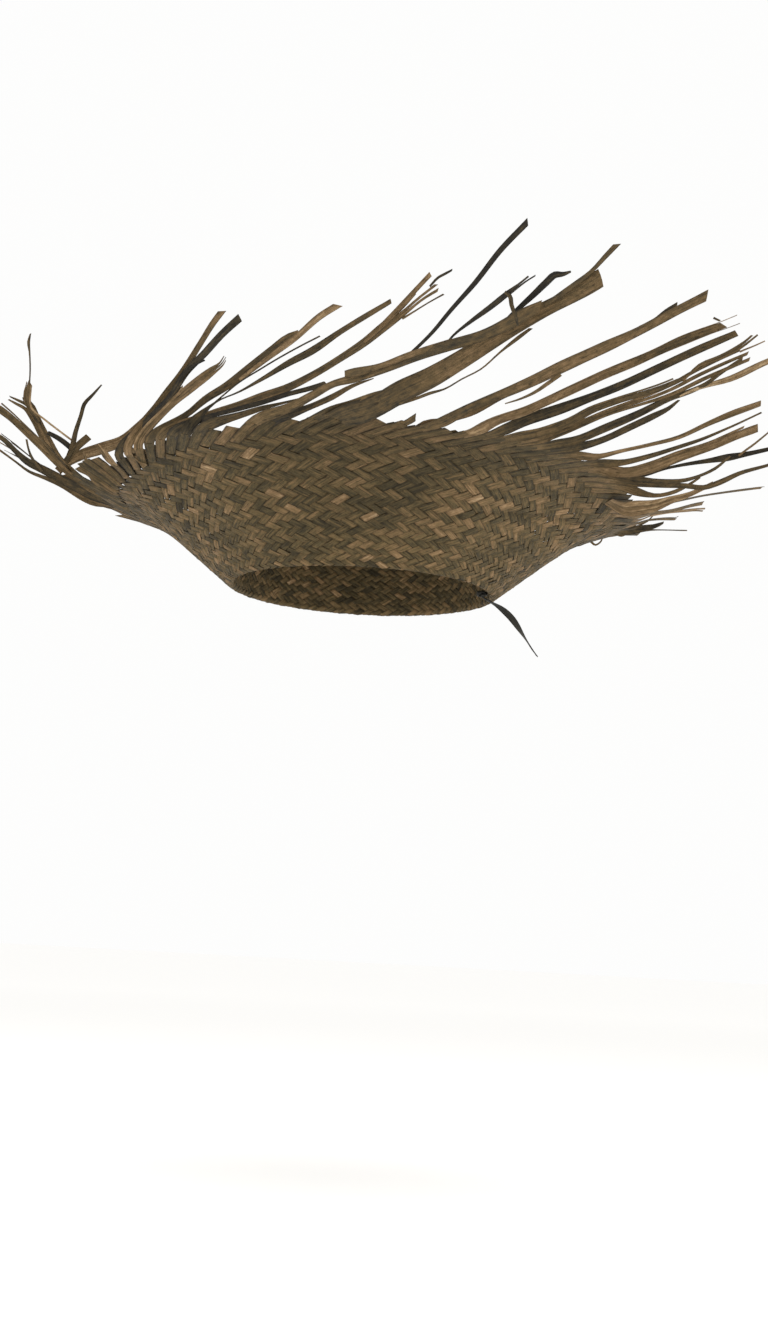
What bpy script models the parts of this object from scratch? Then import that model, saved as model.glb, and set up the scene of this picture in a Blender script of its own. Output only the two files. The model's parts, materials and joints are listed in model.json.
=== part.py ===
"""Plaited palm-leaf sun hat with a turned-up funnel brim and a long, ragged
fringe of unworked leaf ends.

Frame: metres, +Z up along the axis of the crown, -Y is the front of the hat
and +X the wearer's left.  The origin is the middle of the flat inner face of
the crown's top.  The head line, where the crown turns out into the brim, is
at height HEAD_LINE, below the origin.

An angle phi round the hat starts at the front and grows towards +X.
"""
from collections import namedtuple
import math

import bpy
import bmesh
from mathutils import Vector

# ---------------------------------------------------------------- dimensions
HEAD_HALF_X = 0.094        # half width of the head opening
HEAD_HALF_Y = 0.108        # half length of the head opening
CLOTH = 0.0016             # plaited cloth: two thicknesses of leaf
SHARP_ANGLE = 40           # degrees; edges that fold more than this are drawn sharp

# Crown.  Shares of the profile run from the head line (0) to the top's middle (1).
CROWN_HEIGHT = 0.100       # head line to the top of the crown
CROWN_INSET = 0.0018       # crown's cloth inside the head opening
CROWN_WALL_END = 0.50      # share where the wall ends and the shoulder starts
CROWN_BEND_END = 0.74      # share where the shoulder ends and the flat top starts
CROWN_TAPER = 0.085        # part of the plan the wall loses on its way up
CROWN_TAPER_POWER = 1.3    # above 1 the wall leans in more towards its top
CROWN_FLAT = 0.60          # part of the crown's plan that is flat on top
SHOULDER_RISE = 0.026      # height of the rounded shoulder
SEAM = 0.655               # share where the plaiting of the top meets the side
SEAM_CLEARANCE = 0.004     # share left open on each side of the seam
HEAD_LINE = CLOTH / 2 - CROWN_HEIGHT

# Brim.  Shares of its width run from the head line (0) to the edge (1).
BRIM_REACH = 0.1145        # width of the brim, measured along its slope
BRIM_CLEARANCE = 0.004     # share left open at the head line and at the edge course
BRIM_FLATTEN = 0.50        # the slope at the edge falls by this share
FLATTEN_START = 0.45       # share of the width where the slope starts to fall
BRIM_STEPS = 24            # steps in adding up the brim's profile
# Slope above the horizontal, in degrees, at equal steps of phi from the front.
BRIM_SLOPES = (51, 49, 39, 38, 36, 36, 39, 47)
SLOPE_STEP = 360 / len(BRIM_SLOPES)

# Edge course of the brim, folded over once more.
EDGE_CLOTH = 0.0024
EDGE_START = 0.905         # share of the brim's width where the edge course starts
EDGE_STITCHES = 90         # chevrons around the edge course
EDGE_SCALLOP = 0.0010      # how far the edge course steps in and out

# Leaves of the fringe
LEAF = 0.0008              # thickness of one dry leaf
LEAF_ROOT_GAP = 0.0006     # clearance between the brim's edge and a leaf's root
LEAF_STEPS = 8             # steps along a leaf
LEAF_CREASE = 0.06         # height of the midrib fold, as part of the leaf's width
LEAF_TAPER = 0.30          # part of the width lost gradually along the leaf
TIP_TAPER = 0.12           # further part of the width lost near the tip
TIP_TAPER_START = 0.80     # share of the length where that loss starts
TIP_SLANT = 0.7            # slant of the cut tip, as part of the width
TIP_SLANT_START = 0.85     # share of the length where the slant starts
FORK_SPREAD = 0.55         # widening of a forked tip, as part of the width
FORK_HALF_WIDTH = 0.12     # faces this near the midrib, in widths, open the fork

# One row of the fringe table
Leaf = namedtuple("Leaf", "place length width lean lift bend sideways twist split colour")

# Loose leaf ends.  The sectors' left and right are those of a viewer facing
# the front of the hat, so right is +X.  Columns: place (phi in degrees),
# length mm, width mm, lean (angle between leaf and edge), lift of the root
# above the brim's slope, upward bend, sideways bend, twist (all degrees),
# split (share of the length that is forked, 0 = whole), colour of the leaf.
FRINGE = {
    "front": [
        (-33.5, 185, 9, 29, 0, 3, -15, 10, 0.0, "dark"),
        (-24.5, 165, 9, 34, 3, 6, 4, 10, 0.35, "tan"),
        (-18.5, 180, 9, 43, 0, 2, -4, 15, 0.3, "olive"),
        (-12, 205, 14, 49, -2, -6, -24, 8, 0.0, "brown"),
        (-6, 190, 8, 49, 5, 15, 4, 20, 0.0, "black"),
        (0.5, 200, 17, 41, -2, 7, 0, 5, 0.4, "brown"),
        (7, 160, 8, 52, 6, 18, -10, 15, 0.0, "black"),
        (13, 200, 11, 43, -5, 10, 5, 8, 0.3, "tan"),
    ],
    "front_right": [
        (20, 175, 10, 47, 2, 7, -6, 8, 0.35, "tan"),
        (26, 178, 8, 47, 0, 1, 6, 10, 0.0, "dark"),
        (32, 170, 14, 44, 3, 14, -4, 8, 0.45, "olive"),
        (38, 155, 9, 46, 1, 0, 4, 6, 0.0, "tan"),
        (44, 145, 8, 47, 4, 6, 5, 12, 0.0, "dark"),
        (50, 130, 9, 49, 2, -4, 2, 10, 0.3, "brown"),
        (56, 140, 10, 46, 5, 2, -8, 6, 0.0, "tan"),
    ],
    "right": [
        (62, 145, 6, 48, 4, 8, -10, 15, 0.0, "dark"),
        (69, 160, 7, 44, 6, 6, -14, 12, 0.0, "tan"),
        (76, 170, 9, 46, 7, 3, -18, 8, 0.35, "dark"),
        (83, 155, 7, 44, 7, 4, -12, 10, 0.0, "tan"),
        (91, 110, 8, 47, 1, 2, -6, 10, 0.3, "brown"),
        (99, 80, 6, 48, -2, -4, -4, 6, 0.0, "dark"),
    ],
    "back_right": [
        (109, 95, 9, 46, 0, 3, -3, 8, 0.0, "brown"),
        (119, 120, 10, 44, 2, 5, 4, 10, 0.3, "tan"),
        (129, 140, 8, 45, 0, 2, -6, 12, 0.0, "olive"),
        (139, 130, 11, 46, 3, 5, 3, 6, 0.0, "brown"),
        (149, 150, 9, 44, 1, 3, -4, 10, 0.35, "dark"),
    ],
    "back": [
        (159, 140, 10, 45, 2, 3, 4, 8, 0.0, "tan"),
        (169, 125, 8, 46, 0, 5, -5, 12, 0.0, "olive"),
        (179, 150, 11, 44, 1, 2, 3, 6, 0.3, "brown"),
        (189, 135, 9, 45, 2, 4, -3, 10, 0.0, "dark"),
        (199, 150, 10, 44, 0, 3, 4, 8, 0.0, "tan"),
    ],
    "back_left": [
        (209, 140, 9, 46, 1, 4, -4, 10, 0.3, "brown"),
        (218, 150, 8, 45, 0, 6, 3, 12, 0.0, "olive"),
        (227, 145, 11, 46, 2, 10, 2, 8, 0.0, "dark"),
        (236, 140, 9, 50, 1, 20, 4, 10, 0.35, "tan"),
        (245, 125, 7, 47, 0, 16, -4, 14, 0.0, "dark"),
    ],
    "left": [
        (254, 120, 12, 42, 3, 20, -6, 10, 0.4, "brown"),
        (263, 130, 9, 38, 1, 16, -10, 12, 0.0, "tan"),
        (272, 185, 8, 28, -2, 18, -20, 20, 0.3, "dark"),
        (281, 130, 8, 29, -5, 18, -12, 14, 0.0, "brown"),
        (290, 105, 8, 36, -5, 8, -6, 10, 0.0, "tan"),
    ],
    "front_left": [
        (298, 160, 9, 27, 4, 12, -12, 12, 0.3, "tan"),
        (305, 175, 9, 25, 1, 6, -9, 10, 0.0, "dark"),
        (312, 150, 10, 26, -1, -1, -8, 8, 0.35, "brown"),
        (319, 190, 8, 27, 3, 5, -12, 12, 0.0, "dark"),
    ],
}

# Tie: a knot inside the head line on the +X side and a strip hanging from it
STRIP_ROOT = Vector((0.0866, -0.0160, HEAD_LINE - 0.0040))
STRIP_LENGTH = 0.056
STRIP_WIDTH = 0.0045
STRIP_THICK = 0.0010
STRIP_TIP_SLANT = 0.002    # slant of the cut tip, side to side
STRIP_STEPS = 16           # steps in adding up the strip's middle line
KNOT_CENTRE = Vector((0.0846, -0.0155, HEAD_LINE + 0.0008))
KNOT_CORD_RADIUS = 0.00085
KNOT_RADIUS = 0.0024       # mean radius of the knot's line
KNOT_LOOP = 0.0013         # how far its three lobes swing in and out
KNOT_HALF_HEIGHT = 0.0014
KNOT_POINTS = 42

# Colours as seen (sRGB, 0-255), with the roughness of the surface.
COLOURS = {
    "cloth": ((98, 83, 62), 0.72), "crown": ((104, 88, 66), 0.74),
    "edge": ((112, 96, 74), 0.70),
    "tan": ((140, 110, 80), 0.62), "brown": ((112, 88, 64), 0.66),
    "olive": ((86, 80, 60), 0.66), "dark": ((70, 60, 46), 0.68),
    "black": ((50, 47, 42), 0.60), "tie": ((45, 45, 38), 0.55),
}


# ------------------------------------------------------------------- helpers
def linear(channel):
    """Linear value of an sRGB channel given as 0-255."""
    channel /= 255.0
    return channel / 12.92 if channel <= 0.04045 else ((channel + 0.055) / 1.055) ** 2.4


def material(name, colour):
    rgb, roughness = COLOURS[colour]
    mat = bpy.data.materials.new(name)
    mat.use_nodes = True
    inputs = mat.node_tree.nodes["Principled BSDF"].inputs
    inputs["Base Color"].default_value = (*map(linear, rgb), 1.0)
    inputs["Roughness"].default_value = roughness
    inputs["Metallic"].default_value = 0.0
    return mat


def smooth(x):
    """Ease from 0 to 1, flat outside that range."""
    x = min(1.0, max(0.0, x))
    return x * x * (3.0 - 2.0 * x)


def turn(first, second, degrees):
    """Two perpendicular directions, turned together from first towards second."""
    angle = math.radians(degrees)
    cos, sin = math.cos(angle), math.sin(angle)
    return first * cos + second * sin, second * cos - first * sin


def sheet(across, along, place):
    """A grid of across x along faces whose corners are put where place(u, v)
    says, u and v running from 0 to 1.  Corners that meet are joined."""
    grid = bmesh.new()
    bmesh.ops.create_grid(grid, x_segments=across, y_segments=along, size=0.5)
    for vert in grid.verts:
        vert.co = place(vert.co.x + 0.5, vert.co.y + 0.5)
    bmesh.ops.remove_doubles(grid, verts=grid.verts[:], dist=0.00002)
    return grid


def add_piece(name, grid, origin, colour, thickness):
    """Object with its origin at the given point, made from a sheet in world
    coordinates and thickened equally to both sides."""
    for vert in grid.verts:
        vert.co -= origin
    mesh = bpy.data.meshes.new(name)
    grid.to_mesh(mesh)
    grid.free()
    mesh.shade_smooth()
    mesh.set_sharp_from_angle(angle=math.radians(SHARP_ANGLE))
    mesh.materials.append(material(name, colour))
    piece = bpy.data.objects.new(name, mesh)
    piece.location = origin
    hat.objects.link(piece)
    solidify = piece.modifiers.new("thickness", "SOLIDIFY")
    solidify.thickness = thickness
    solidify.offset = 0.0
    solidify.use_even_offset = False


# --------------------------------------------------------------------- crown
def crown_profile(share):
    """(share of the plan, height above the head line) along the crown."""
    wall_height = CROWN_HEIGHT - SHOULDER_RISE
    if share <= CROWN_WALL_END:
        part = share / CROWN_WALL_END
        return 1.0 - CROWN_TAPER * part ** CROWN_TAPER_POWER, wall_height * part
    if share <= CROWN_BEND_END:
        angle = (share - CROWN_WALL_END) / (CROWN_BEND_END - CROWN_WALL_END) * math.pi / 2
        wall_plan = 1.0 - CROWN_TAPER
        plan = wall_plan + (CROWN_FLAT - wall_plan) * (1 - math.cos(angle))
        return plan, wall_height + SHOULDER_RISE * math.sin(angle)
    part = (share - CROWN_BEND_END) / (1.0 - CROWN_BEND_END)
    return CROWN_FLAT * (1.0 - part), CROWN_HEIGHT


def crown_point(share, phi):
    plan, height = crown_profile(share)
    return Vector(((HEAD_HALF_X - CROWN_INSET) * plan * math.sin(phi),
                   -(HEAD_HALF_Y - CROWN_INSET) * plan * math.cos(phi),
                   HEAD_LINE + height))


def make_crown():
    top_start = SEAM + SEAM_CLEARANCE
    side_end = SEAM - SEAM_CLEARANCE
    top = sheet(40, 7, lambda u, v: crown_point(top_start + (1 - top_start) * v, u * math.tau))
    add_piece("crown_top", top, Vector((0, 0, 0)), "crown", CLOTH)
    side = sheet(48, 7, lambda u, v: crown_point(side_end * v, u * math.tau))
    add_piece("crown_side", side, Vector((0, 0, HEAD_LINE)), "crown", CLOTH)


# ---------------------------------------------------------------------- brim
def outward(phi):
    return Vector((math.sin(phi), -math.cos(phi), 0.0))


def slope_at(share, phi):
    """Slope of the brim in radians, eased between the tabled slopes."""
    position = math.degrees(phi) % 360.0 / SLOPE_STEP
    index = int(position)
    blend = 0.5 - 0.5 * math.cos(math.pi * (position - index))
    before = BRIM_SLOPES[index % len(BRIM_SLOPES)]
    after = BRIM_SLOPES[(index + 1) % len(BRIM_SLOPES)]
    fall = BRIM_FLATTEN * smooth((share - FLATTEN_START) / (1.0 - FLATTEN_START))
    return math.radians(before + (after - before) * blend) * (1.0 - fall)


def brim_point(share, phi):
    """Point of the brim at a share of its width, added up along the slope."""
    reach = rise = 0.0
    step = share * BRIM_REACH / BRIM_STEPS
    for i in range(BRIM_STEPS):
        angle = slope_at(share * (i + 0.5) / BRIM_STEPS, phi)
        reach += math.cos(angle) * step
        rise += math.sin(angle) * step
    base = Vector((HEAD_HALF_X * math.sin(phi), -HEAD_HALF_Y * math.cos(phi), HEAD_LINE))
    return base + outward(phi) * reach + Vector((0, 0, rise))


def edge_uphill(phi):
    """Direction up the brim's slope at its edge."""
    angle = slope_at(1.0, phi)
    return outward(phi) * math.cos(angle) + Vector((0, 0, math.sin(angle)))


def edge_point(u, v):
    """Point of the edge course; every second corner is stepped in."""
    phi = u * math.tau
    step = round(u * EDGE_STITCHES) % 2 * EDGE_SCALLOP * v
    return brim_point(EDGE_START + (1.0 - EDGE_START) * v, phi) - edge_uphill(phi) * step


def make_brim():
    origin = Vector((0, 0, HEAD_LINE))
    width = EDGE_START - 2 * BRIM_CLEARANCE
    brim = sheet(60, 7, lambda u, v: brim_point(BRIM_CLEARANCE + width * v, u * math.tau))
    add_piece("brim", brim, origin, "cloth", CLOTH)
    edge = sheet(EDGE_STITCHES, 1, edge_point)
    add_piece("brim_edge", edge, origin, "edge", EDGE_CLOTH)


# -------------------------------------------------------------------- fringe
def leaf_frames(leaf, length, width):
    """(point, heading, width direction, normal) down the middle of a leaf,
    the bends spread evenly over its length."""
    phi = math.radians(leaf.place)
    uphill = edge_uphill(phi)
    along = (brim_point(1.0, phi + 1e-3) - brim_point(1.0, phi - 1e-3)).normalized()
    normal = uphill.cross(along).normalized()
    root_offset = LEAF_ROOT_GAP + width / 2 * math.cos(math.radians(leaf.lean))
    point = brim_point(1.0, phi) + uphill * root_offset
    heading, across = turn(along, uphill, leaf.lean)
    heading, normal = turn(heading, normal, leaf.lift)
    frames = [(point, heading, across, normal)]
    half_steps = 2 * LEAF_STEPS
    for i in range(half_steps):
        heading, normal = turn(heading, normal, leaf.bend / half_steps)
        heading, across = turn(heading, across, leaf.sideways / half_steps)
        across, normal = turn(across, normal, leaf.twist / half_steps)
        # The point moves on half way through each step's turn.
        if i % 2 == 0:
            point = point + heading * (length / LEAF_STEPS)
        else:
            frames.append((point, heading, across, normal))
    return frames


def open_fork(grid, frames, split, width):
    """Remove the faces along the midrib in the forked share of the leaf."""
    first_row = round(LEAF_STEPS * (1.0 - split))
    middle = []
    for face in grid.faces:
        centre = face.calc_center_median()
        row = min(range(LEAF_STEPS), key=lambda i: (
            (frames[i][0] + frames[i + 1][0]) / 2 - centre).length)
        point, _, across, _ = frames[row]
        if row >= first_row and abs((centre - point).dot(across)) < width * FORK_HALF_WIDTH:
            middle.append(face)
    bmesh.ops.delete(grid, geom=middle, context="FACES")


def make_leaf(name, leaf):
    length, width = leaf.length / 1000.0, leaf.width / 1000.0
    split = leaf.split
    frames = leaf_frames(leaf, length, width)

    def place(u, v):
        point, heading, across, normal = frames[round(v * LEAF_STEPS)]
        tip = smooth((v - TIP_TAPER_START) / (1.0 - TIP_TAPER_START))
        local_width = width * (1.0 - LEAF_TAPER * v ** 2 - TIP_TAPER * tip)
        side = (u - 0.5) * local_width
        rise = LEAF_CREASE * local_width * (1.0 - abs(2 * u - 1.0))
        slant = (u - 0.5) * width * TIP_SLANT * smooth(
            (v - TIP_SLANT_START) / (1.0 - TIP_SLANT_START))
        if split and v > 1.0 - split:
            side *= 1.0 + FORK_SPREAD * (v - 1.0 + split) / split
        return point + across * side + normal * rise + heading * slant

    grid = sheet(3 if split else 2, LEAF_STEPS, place)
    if split:
        open_fork(grid, frames, split, width)
    add_piece(name, grid, frames[0][0], leaf.colour, LEAF)


def make_fringe():
    for sector, rows in FRINGE.items():
        for number, row in enumerate(rows, 1):
            make_leaf(f"leaf_{sector}_{number}", Leaf(*row))


# ----------------------------------------------------------------------- tie
def strip_heading(share):
    """Direction of the strip: outwards and down, steepest near its middle."""
    drop = math.radians(31 + 23 * smooth(share / 0.45) - 8 * smooth((share - 0.6) / 0.4))
    level = math.cos(drop)
    return Vector((0.97 * level, -0.24 * level, -math.sin(drop))).normalized()


def strip_place(u, v):
    point = STRIP_ROOT.copy()
    for i in range(round(v * STRIP_STEPS)):
        point += strip_heading((i + 0.5) / STRIP_STEPS) * (STRIP_LENGTH / STRIP_STEPS)
    heading = strip_heading(v)
    level = heading.cross(Vector((0, 0, 1))).normalized()
    upward = level.cross(heading).normalized()
    # The strip twists over and back, and is narrowest above its middle.
    across, _ = turn(level, upward, 10 + 60 * math.sin(math.pi * smooth(v / 0.8)))
    width = STRIP_WIDTH * (1.0 - 0.35 * math.sin(math.pi * smooth(v / 0.7)) + 0.15 * v)
    slant = STRIP_TIP_SLANT * smooth((v - 0.8) / 0.2)
    return point + (across * width + heading * slant) * (u - 0.5)


def make_knot():
    """Closed cord wound twice round, with three lobes."""
    cord = bpy.data.curves.new("tie_knot_line", "CURVE")
    cord.dimensions = "3D"
    cord.bevel_depth = KNOT_CORD_RADIUS
    cord.bevel_resolution = 1
    spline = cord.splines.new("POLY")
    spline.points.add(KNOT_POINTS - 1)
    for i, point in enumerate(spline.points):
        angle = math.tau * i / KNOT_POINTS
        radius = KNOT_RADIUS + KNOT_LOOP * math.cos(3 * angle)
        point.co = (radius * math.cos(2 * angle), radius * math.sin(2 * angle),
                    KNOT_HALF_HEIGHT * math.sin(3 * angle), 1.0)
    spline.use_cyclic_u = True
    cord.materials.append(material("tie_knot", "tie"))
    knot = bpy.data.objects.new("tie_knot", cord)
    knot.location = KNOT_CENTRE
    hat.objects.link(knot)


# --------------------------------------------------------------------- build
for old in list(bpy.data.objects):
    bpy.data.objects.remove(old, do_unlink=True)

hat = bpy.data.collections.new("conical_hat")
bpy.context.scene.collection.children.link(hat)

make_crown()
make_brim()
make_fringe()
add_piece("tie_strip", sheet(1, 12, strip_place), STRIP_ROOT, "tie", STRIP_THICK)
make_knot()
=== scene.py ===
# Plaited palm-leaf sun hat. +Z is up, the front is -Y and +X is on the right seen from the
# front. The head line is centred on the Z axis; the crown rises from it and the brim slopes
# up and outwards round it. The strips of the plaiting, the loose leaf ends of the fringe
# and the dark tie are thin closed ribbons laid over the solids of the frame. Metres.
import json
import math
from collections import namedtuple

import bpy
import numpy as np
from mathutils import Matrix, Vector

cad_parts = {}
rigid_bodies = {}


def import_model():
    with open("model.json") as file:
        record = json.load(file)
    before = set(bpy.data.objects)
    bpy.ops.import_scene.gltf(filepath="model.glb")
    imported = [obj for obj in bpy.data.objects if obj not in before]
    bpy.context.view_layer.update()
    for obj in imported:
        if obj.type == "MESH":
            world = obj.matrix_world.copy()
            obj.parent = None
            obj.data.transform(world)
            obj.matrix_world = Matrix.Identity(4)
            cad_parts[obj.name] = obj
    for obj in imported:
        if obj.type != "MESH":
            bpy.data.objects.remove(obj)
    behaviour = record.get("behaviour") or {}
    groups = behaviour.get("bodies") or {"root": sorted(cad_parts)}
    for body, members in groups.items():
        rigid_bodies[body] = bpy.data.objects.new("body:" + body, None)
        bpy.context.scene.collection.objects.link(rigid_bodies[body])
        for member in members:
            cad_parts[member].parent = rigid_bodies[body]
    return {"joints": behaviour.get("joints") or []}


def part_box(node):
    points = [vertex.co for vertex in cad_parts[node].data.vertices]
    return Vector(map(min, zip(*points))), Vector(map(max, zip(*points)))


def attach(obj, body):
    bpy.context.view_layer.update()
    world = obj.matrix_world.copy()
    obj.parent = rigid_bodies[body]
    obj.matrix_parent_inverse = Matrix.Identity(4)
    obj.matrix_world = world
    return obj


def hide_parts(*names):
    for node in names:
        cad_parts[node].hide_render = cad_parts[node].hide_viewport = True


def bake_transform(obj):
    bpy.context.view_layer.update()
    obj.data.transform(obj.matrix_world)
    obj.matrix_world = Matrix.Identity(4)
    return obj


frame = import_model()
for thing in list(bpy.data.objects):
    if thing.name in ("Cube", "Light", "Camera"):
        bpy.data.objects.remove(thing, do_unlink=True)
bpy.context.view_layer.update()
RNG = np.random.default_rng(20)
PI = math.pi

# ------------------------------------------------------------ form of the hat
# Angles round the hat (phi) start at the front and grow towards +X. Distances run along
# the cloth: 0 at the foot of the crown, negative up the crown, positive out on the brim.
CLOTH = 0.0016                      # thickness of the solids' cloth
CROWN_INSET = 0.0018                # the crown stands this far inside the head line
JOINT_AT = {joint["child"]: np.array(joint["pos_m"], float) for joint in frame["joints"]}
side_box, top_box, edge_box, knot_box = (
    np.array(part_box(name), float) for name in ("crown_side", "crown_top", "brim_edge", "tie_knot"))
HEAD_X = float(side_box[1][0]) + CROWN_INSET - CLOTH / 2    # half sizes of the head opening
HEAD_Y = float(side_box[1][1]) + CROWN_INSET - CLOTH / 2
HEAD_Z = float(side_box[0][2]) + 0.00006                    # height of the head line
CENTRE = np.array([0.0, 0.0, HEAD_Z])
CROWN_X, CROWN_Y = HEAD_X - CROWN_INSET, HEAD_Y - CROWN_INSET
CROWN_HEIGHT = float(top_box[1][2]) - CLOTH / 2 - HEAD_Z
SLOPE_RATIO = 1.20714               # length along the brim's slope to its level reach
BRIM_REACH = SLOPE_RATIO * (float(edge_box[1][0]) - HEAD_X)
D_RIM = CROWN_INSET + BRIM_REACH
EDGE_START = 0.905                  # share of the brim where its edge course begins
# Steepness of the brim in degrees, every 45 degrees round from the front.
SLOPES = np.array([51, 49, 39, 38, 36, 36, 39, 47], float)
# Crown profile, in shares of its run from head line to middle and of its foot's size.
WALL_END, BEND_END, SEAM = 0.50, 0.74, 0.655
SHOULDER, CROWN_FLAT = 0.915, 0.60
BEND_RISE = 0.026
# One faint crease slants over the brim: angle in degrees, distance in millimetres.
CREASE = np.array([(32.0, 52.7), (43.0, 56.1), (55.0, 63.0), (61.0, 66.4), (67.0, 71.0),
                   (77.0, 81.3), (86.0, 93.9)])


def smooth(x):
    x = np.clip(x, 0.0, 1.0)
    return x * x * (3.0 - 2.0 * x)


def unit(vectors):
    return vectors / np.maximum(np.linalg.norm(vectors, axis=-1), 1e-12)[..., None]


def reject(vectors, axis):
    """The part of the vectors square to the unit axis."""
    return vectors - axis * np.einsum("...j,...j->...", vectors, axis)[..., None]


def running(steps):
    return np.concatenate([[0], np.cumsum(steps)])


def path_length(path):
    return running(np.linalg.norm(np.diff(path, axis=0), axis=1))


def layers(*parts):
    """Stack the parts, spread to one shape, along a new last axis."""
    return np.stack(np.broadcast_arrays(*parts), -1)


def slow_noise(table, x, scale):
    """Smooth noise of unit size along x from one row of random numbers."""
    place = np.asarray(x) / scale
    i = np.floor(place).astype(int)
    mix = place - i
    mix = mix * mix * (3 - 2 * mix)
    return table[i % len(table)] * (1 - mix) + table[(i + 1) % len(table)] * mix


def near(angle, middle, reach):
    """1 at the middle angle, falling to 0 at reach from it."""
    return smooth(1 - np.abs((angle - middle + 180) % 360 - 180) / reach)


def slope(phi):
    """Steepness of the brim, eased between the design angles."""
    turn = np.degrees(phi) % 360.0 / 45.0
    k = np.floor(turn).astype(int) % 8
    mix = 0.5 - 0.5 * np.cos(PI * (turn - np.floor(turn)))
    return np.radians(SLOPES[k] + (SLOPES[(k + 1) % 8] - SLOPES[k]) * mix)


def crown_profile(share):
    """Size, as a share of the foot's, and height above the head line."""
    wall_top = CROWN_HEIGHT - BEND_RISE
    if share <= WALL_END:
        part = share / WALL_END
        return 1.0 - (1 - SHOULDER) * part ** 1.3, wall_top * part
    if share <= BEND_END:
        turn = (share - WALL_END) / (BEND_END - WALL_END) * PI / 2
        return (SHOULDER + (CROWN_FLAT - SHOULDER) * (1 - math.cos(turn)),
                wall_top + BEND_RISE * math.sin(turn))
    return CROWN_FLAT * (1.0 - (share - BEND_END) / (1.0 - BEND_END)), CROWN_HEIGHT


# One table of the whole cloth: rows run from just over the crown's seam down to the head
# line and out along the brim, columns run round the hat in steps of one degree.
PHI = np.linspace(0, 2 * PI, 361)
SIN, COS = np.sin(PHI), np.cos(PHI)
DIST_STEP = 0.0005


def cloth_rows():
    rows = []
    for share in np.linspace(SEAM + 0.03, 0.0, 260):
        size, height = crown_profile(share)
        rows.append(np.stack([CROWN_X * size * SIN, -CROWN_Y * size * COS,
                              np.full_like(SIN, HEAD_Z + height)], 1))
    crown_rows = len(rows)
    share = np.linspace(0, 1.21, 330)       # runs on a little beyond the rim
    # the brim flattens to half its slope towards the rim
    angle = slope(PHI)[None, :] * (1 - 0.5 * smooth((share[:, None] - 0.45) / 0.55))
    step = (share[1] - share[0]) * BRIM_REACH

    def summed(rate):
        return np.vstack([0 * rate[:1], np.cumsum((rate[1:] + rate[:-1]) / 2 * step, 0)])
    reach, rise = summed(np.cos(angle)), summed(np.sin(angle))
    for i in range(1, len(share)):
        rows.append(np.stack([(HEAD_X + reach[i]) * SIN, -(HEAD_Y + reach[i]) * COS,
                              HEAD_Z + rise[i]], 1))
    rows = np.array(rows)
    dist = running(np.linalg.norm(np.diff(rows, axis=0), axis=2).mean(1))
    return rows, dist - dist[crown_rows - 1]


def cloth_table():
    """Distances of evenly spaced rows, and their points."""
    rows, row_dist = cloth_rows()
    dist = np.arange(row_dist[0], row_dist[-1], DIST_STEP)
    table = np.empty((len(dist), 361, 3))
    for j in range(361):
        for k in range(3):
            table[:, j, k] = np.interp(dist, row_dist, rows[:, j, k])
    # the cloth turns over the head line in a small round, not in a sharp crease
    window = np.exp(-0.5 * (np.arange(-6, 7) / 2.2) ** 2)
    window /= window.sum()
    soft = table.copy()
    padded = np.pad(table, ((6, 6), (0, 0), (0, 0)), mode="edge")
    for i in range(len(dist)):
        if abs(dist[i]) < 0.008:
            soft[i] = (padded[i:i + 13] * window[:, None, None]).sum(0)
    return dist, soft


def cloth_normals():
    """Normals towards the upper face of the brim and the outside of the crown."""
    round_hat = np.gradient(POINTS, axis=1)
    round_hat[:, 0] = round_hat[:, -1] = (POINTS[:, 1] - POINTS[:, -2]) / 2
    return unit(np.cross(np.gradient(POINTS, axis=0), round_hat))


def cone_depths():
    """Distance over radius, summed: steps even in it keep the crossings square."""
    radius = np.hypot(POINTS[:, :, 0], POINTS[:, :, 1]).mean(1)
    depth = running((1 / radius[1:] + 1 / radius[:-1]) / 2 * DIST_STEP)
    return depth - np.interp(0.0, DIST, depth)


DIST, POINTS = cloth_table()
NORMALS = cloth_normals()
DEPTHS = cone_depths()


def brim_crease(phi, dist, reach):
    """1 along the crease, falling to 0 at about reach from it."""
    angle = np.degrees(phi) % 360.0
    line = np.interp(angle, CREASE[:, 0], CREASE[:, 1] / 1000)
    along = smooth((angle - CREASE[0, 0]) / 4) * smooth((CREASE[-1, 0] - angle) / 4)
    return along * np.exp(-((dist - line) / (0.6 * reach)) ** 2)


def uneven(phi, dist):
    """Slow waves of the hand-made brim, along its normal."""
    waves = (0.0007 * np.sin(5 * phi + 1.3 + 18 * dist)
             + 0.0005 * np.sin(9 * phi + 0.4 - 31 * dist)
             + 0.0004 * np.sin(14 * phi + 60 * dist))
    return smooth(dist / 0.05) * waves + 0.0012 * brim_crease(phi, dist, 0.0030)


def surf(phi, dist, lift=0.0):
    """Point and normal of the cloth, lifted along the normal."""
    column = np.degrees(phi) % 360.0
    row = np.clip((dist - DIST[0]) / DIST_STEP, 0, len(DIST) - 1.001)
    i, j = np.floor(row).astype(int), np.floor(column).astype(int) % 360
    down, over = (row - i)[..., None], (column - np.floor(column))[..., None]

    def mix(table):
        return (table[i, j] * (1 - down) * (1 - over) + table[i + 1, j] * down * (1 - over)
                + table[i, j + 1] * (1 - down) * over + table[i + 1, j + 1] * down * over)
    normal = unit(mix(NORMALS))
    return mix(POINTS) + normal * (lift + uneven(phi, dist))[..., None], normal


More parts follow.
